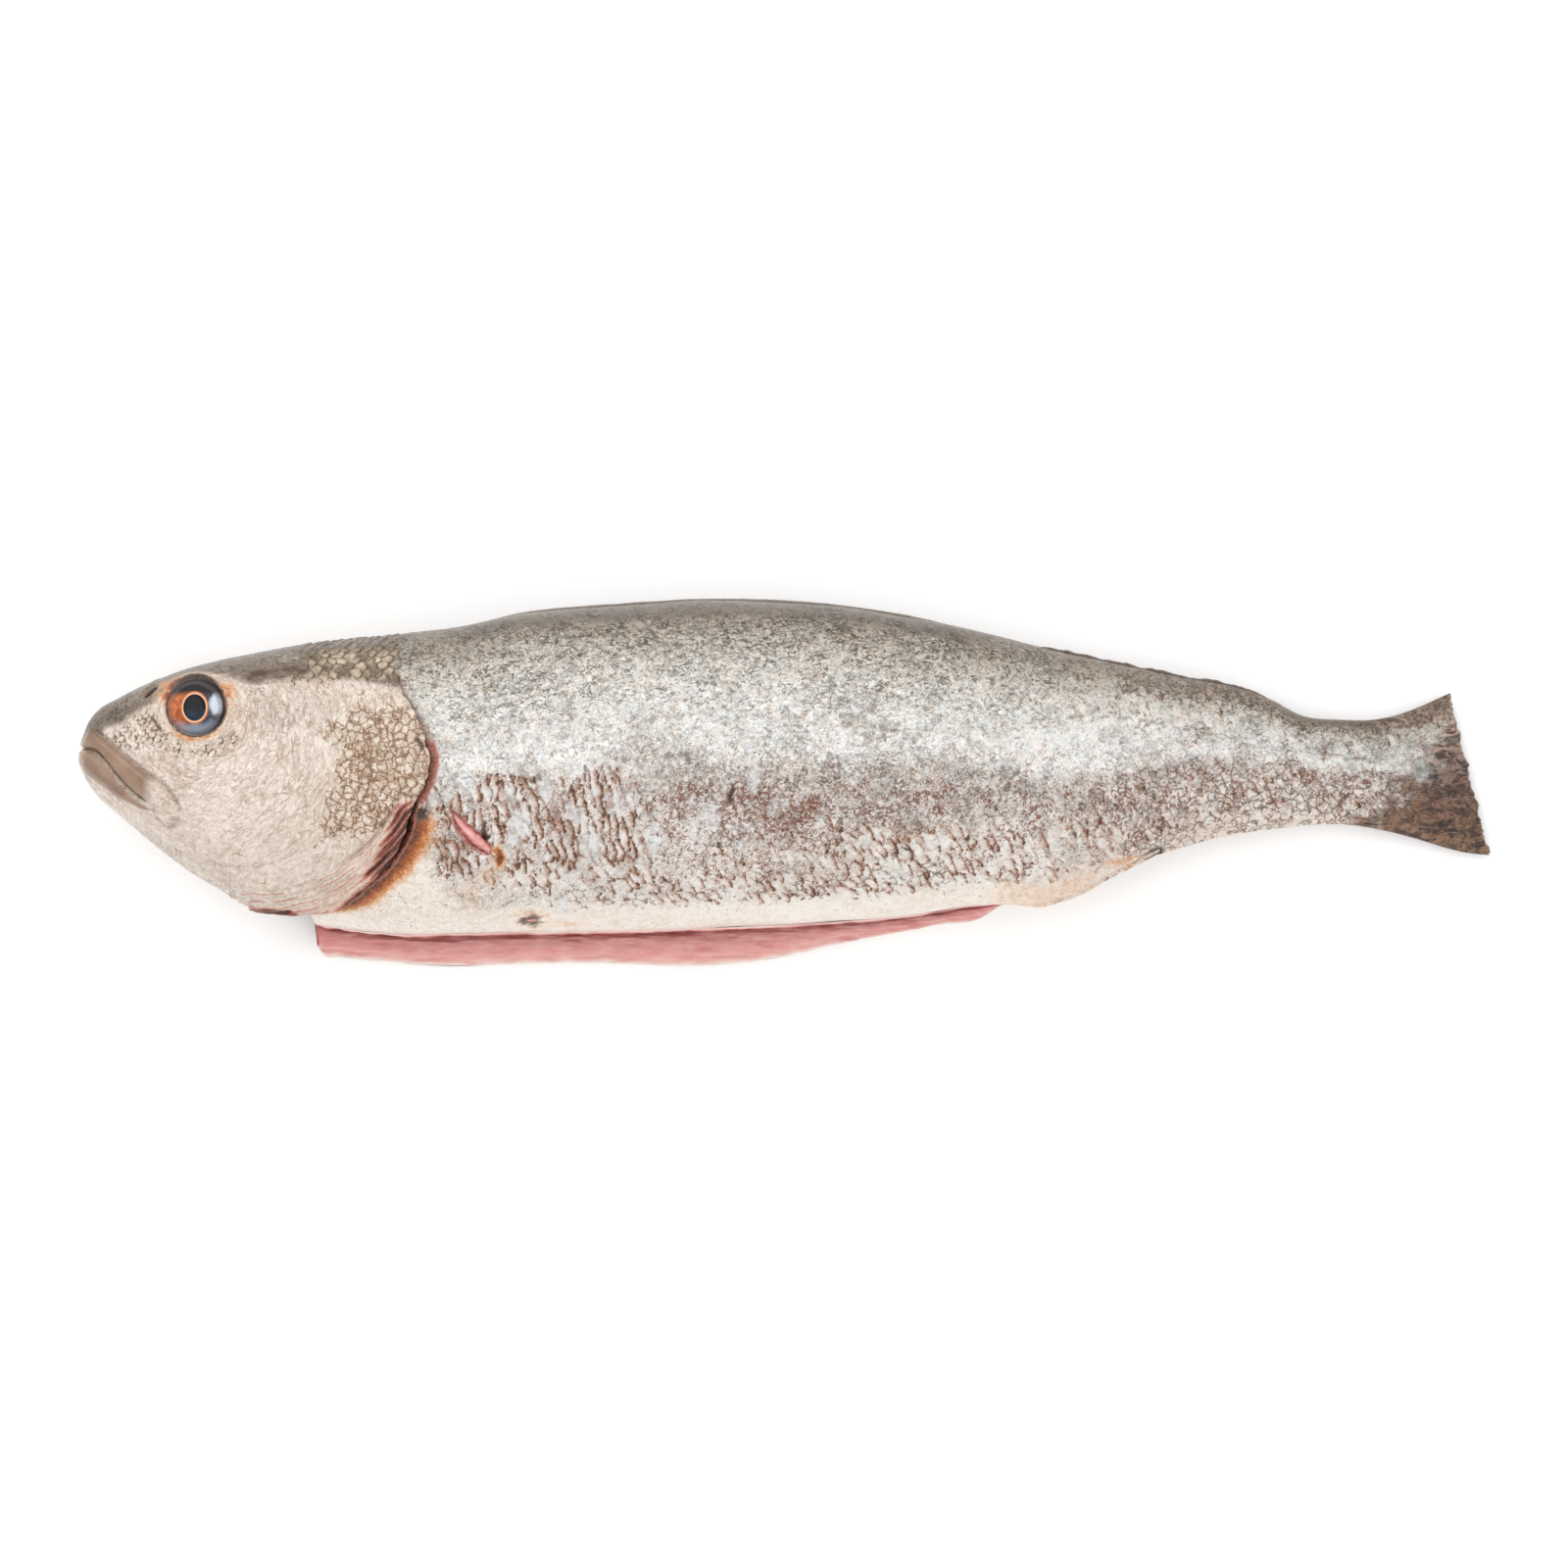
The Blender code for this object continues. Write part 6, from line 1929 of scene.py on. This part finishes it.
@dataclass
class Eye:
    """One eyeball: a dome of rings, with a raised pupil."""

    side: Side
    radius: float = 0.0093
    dome: float = 0.0032
    skirt: float = 0.0040        # how far the sides run down into the socket
    rings: int = 90
    spokes: int = 160

    def build(self, finish: bpy.types.Material) -> bpy.types.Object:
        """Spins the dome's profile z = dome * (1 - r ** 2) ** 0.6, and adds the rings' relief."""
        station, level = Head.EYE
        section = Section(station, 0)
        centre_y = level * LENGTH
        turn = math.acos((centre_y - section.widest) / (section.back - section.widest))
        _, skin_z = section.flank(np.array(turn), self.side)
        centre = Vector((float(Section.place_x(station, centre_y)), centre_y, float(skin_z)))
        lean = Vector((-0.04, 0.10, self.side.value)).normalized()
        right = Vector((1, 0, 0)) - lean * lean.x
        right.normalize()
        up = lean.cross(right) * self.side.value
        r, angle = np.meshgrid(np.linspace(0, 1.06, self.rings),
                               np.linspace(0, 2 * math.pi, self.spokes), indexing="xy")
        flat_x, flat_y = self.radius * r * np.cos(angle), 0.97 * self.radius * r * np.sin(angle)
        pupil_x, pupil_y = flat_x + 0.0005, flat_y + 0.0002
        ring = np.hypot(pupil_x / 0.0036, pupil_y / 0.00425)
        height = self.dome * np.sqrt(np.clip(1 - (r / 1.08) ** 2, 0, 1))
        height = height + 0.00035 * (1 - eased(ring, 0.75, 1.0)) + 0.00018 * bell(ring, 1.12, 0.10)
        height = height - 0.0016 - self.skirt * eased(r, 1.0, 1.06) ** 2
        offset = (flat_x[..., None] * np.array(right) + flat_y[..., None] * np.array(up)
                  + height[..., None] * np.array(lean))
        outward = -1 if self.side is Side.LEFT else 1
        sheet = Sheet(np.array(centre) + offset, {
            "iris_x": pupil_x / MILLIMETRE, "iris_y": pupil_y / MILLIMETRE}, -outward)
        normals = sheet.normals()
        normals[0] = normals[-1] = 0.5 * (normals[0] + normals[-1])
        normals[:, 0] = lean
        label = self.side.name.lower()
        piece = sheet.piece(f"eyeball_{label}", finish, normals)
        return placed(piece, f"eye_{label}")


@dataclass(frozen=True)
class Studio:
    """The pale floor, the soft lights and the camera straight above."""

    lens_mm: float = 200.0
    sensor_mm: float = 36.0
    view_width: float = 0.500
    focus_height: float = 0.030

    def build(self) -> None:
        """Adds everything to the scene."""
        scene = bpy.context.scene
        scene.view_settings.view_transform = "Standard"
        distance = self.view_width * self.lens_mm / self.sensor_mm
        data = bpy.data.cameras.new("camera")
        data.lens, data.sensor_width = self.lens_mm, self.sensor_mm
        data.clip_end = 20.0
        camera = bpy.data.objects.new("camera", data)
        camera.location = (0, 0, distance + self.focus_height)
        scene.collection.objects.link(camera)
        scene.camera = camera
        self.floor()
        self.world()
        self.softbox("key_light", (-0.60, 0.80, 1.20), 1.8, 12.5)
        self.softbox("fill_light", (0.7, -0.6, 1.4), 2.0, 7.0)

    @staticmethod
    def floor() -> None:
        """A wide pale floor under the fish."""
        mesh = bpy.data.meshes.new("floor")
        reach = 4.0
        corners = [(-reach, -reach, 0), (reach, -reach, 0), (reach, reach, 0), (-reach, reach, 0)]
        mesh.from_pydata(corners, [], [(0, 1, 2, 3)])
        floor = bpy.data.objects.new("floor", mesh)
        made, _, shader = new_material("pale floor")
        settle(shader, Roughness=0.9, Emission_Strength=0.15)
        shader.inputs["Emission Color"].default_value = (1.0, 1.0, 1.0, 1.0)
        shader.inputs["Base Color"].default_value = (0.96, 0.96, 0.96, 1.0)
        mesh.materials.append(made)
        bpy.context.scene.collection.objects.link(floor)

    @staticmethod
    def world() -> None:
        """An even white surrounding."""
        world = bpy.data.worlds.new("studio")
        world.use_nodes = True
        background = world.node_tree.nodes["Background"]
        background.inputs["Color"].default_value = (1.0, 1.0, 1.0, 1.0)
        background.inputs["Strength"].default_value = 0.75
        bpy.context.scene.world = world

    @staticmethod
    def softbox(name: str, place: tuple[float, float, float], size: float, power: float) -> None:
        """A square area light that faces the fish."""
        data = bpy.data.lights.new(name, "AREA")
        data.size = size
        data.energy = power
        light = bpy.data.objects.new(name, data)
        light.location = place
        light.rotation_euler = Vector(place).to_track_quat("Z", "Y").to_euler()
        bpy.context.scene.collection.objects.link(light)


FLANK_FINISH = SkinFinish(
    "wet silver skin",
    # Both ramps lighten from 0.46 to 0.55: a painted highlight band along the flank just above its
    # middle, partly the skin's own silver, over a darker band of painted shade, partly the skin's
    # own tone.
    light=((0.00, tint(246, 234, 222)), (0.10, tint(242, 232, 223)), (0.34, tint(232, 222, 214)),
           (0.46, tint(226, 216, 208)), (0.55, tint(248, 246, 243)), (0.70, tint(244, 242, 237)),
           (0.84, tint(224, 217, 206)), (0.94, tint(182, 169, 153)), (1.0, tint(150, 137, 122))),
    dark=((0.00, tint(220, 198, 180)), (0.10, tint(160, 134, 116)), (0.34, tint(108, 86, 72)),
          (0.46, tint(110, 92, 80)), (0.55, tint(158, 148, 138)), (0.70, tint(128, 120, 108)),
          (0.84, tint(88, 78, 64)), (0.94, tint(62, 51, 38)), (1.0, tint(74, 62, 49))),
    fin_light=((0.00, tint(142, 108, 82)), (0.30, tint(126, 99, 82)), (0.55, tint(138, 115, 104)),
               (0.80, tint(188, 156, 140)), (1.0, tint(152, 130, 114))),
    fin_dark=((0.00, tint(34, 22, 14)), (0.30, tint(40, 27, 19)), (0.55, tint(54, 40, 34)),
              (0.80, tint(84, 60, 48)), (1.0, tint(60, 47, 37))),
)
PELVIC: Path = ((0.3150, -0.0962), (0.3200, -0.0968), (0.3265, -0.0962))
FIN_BASES = (
    FinBase("dorsal_fin_base_front", 0.276, 0.640, 0.0012, 0.0026, 0.0002),
    FinBase("dorsal_fin_base_rear", 0.676, 0.856, 0.0013, 0.0020, 0.0012, dark=0.45),
    FinBase("anal_fin_base", 0.688, 0.774, 0.0012, 0.0018, 0.0008, on_back=False),
)


def main() -> None:
    """Builds the fish piece by piece, then the studio round it."""
    logging.basicConfig(level=logging.INFO, format="%(name)s %(message)s")
    effects = Effects()
    skin = FLANK_FINISH.material(effects)
    Trunk().build(skin)
    flesh = FleshFinish().material(effects)
    BellyFlesh().build(flesh)
    for fin in FIN_BASES:
        fin.build(skin)
    for side in Side:
        label = side.name.lower()
        FinStump(f"pectoral_stump_{label}", side, Trunk.PECTORAL, 0.0027, 0.0010).build(flesh)
        FinStump(f"pelvic_stump_{label}", side, PELVIC, 0.0008, 0.0011, 0.10).build(flesh)
    StrayScale().build(ScaleFinish().material(effects))
    Head().build(HeadFinish().material(effects))
    eye = EyeFinish().material(effects)
    for side in Side:
        Eye(side).build(eye)
    Studio().build()


if __name__ == "__main__":
    main()
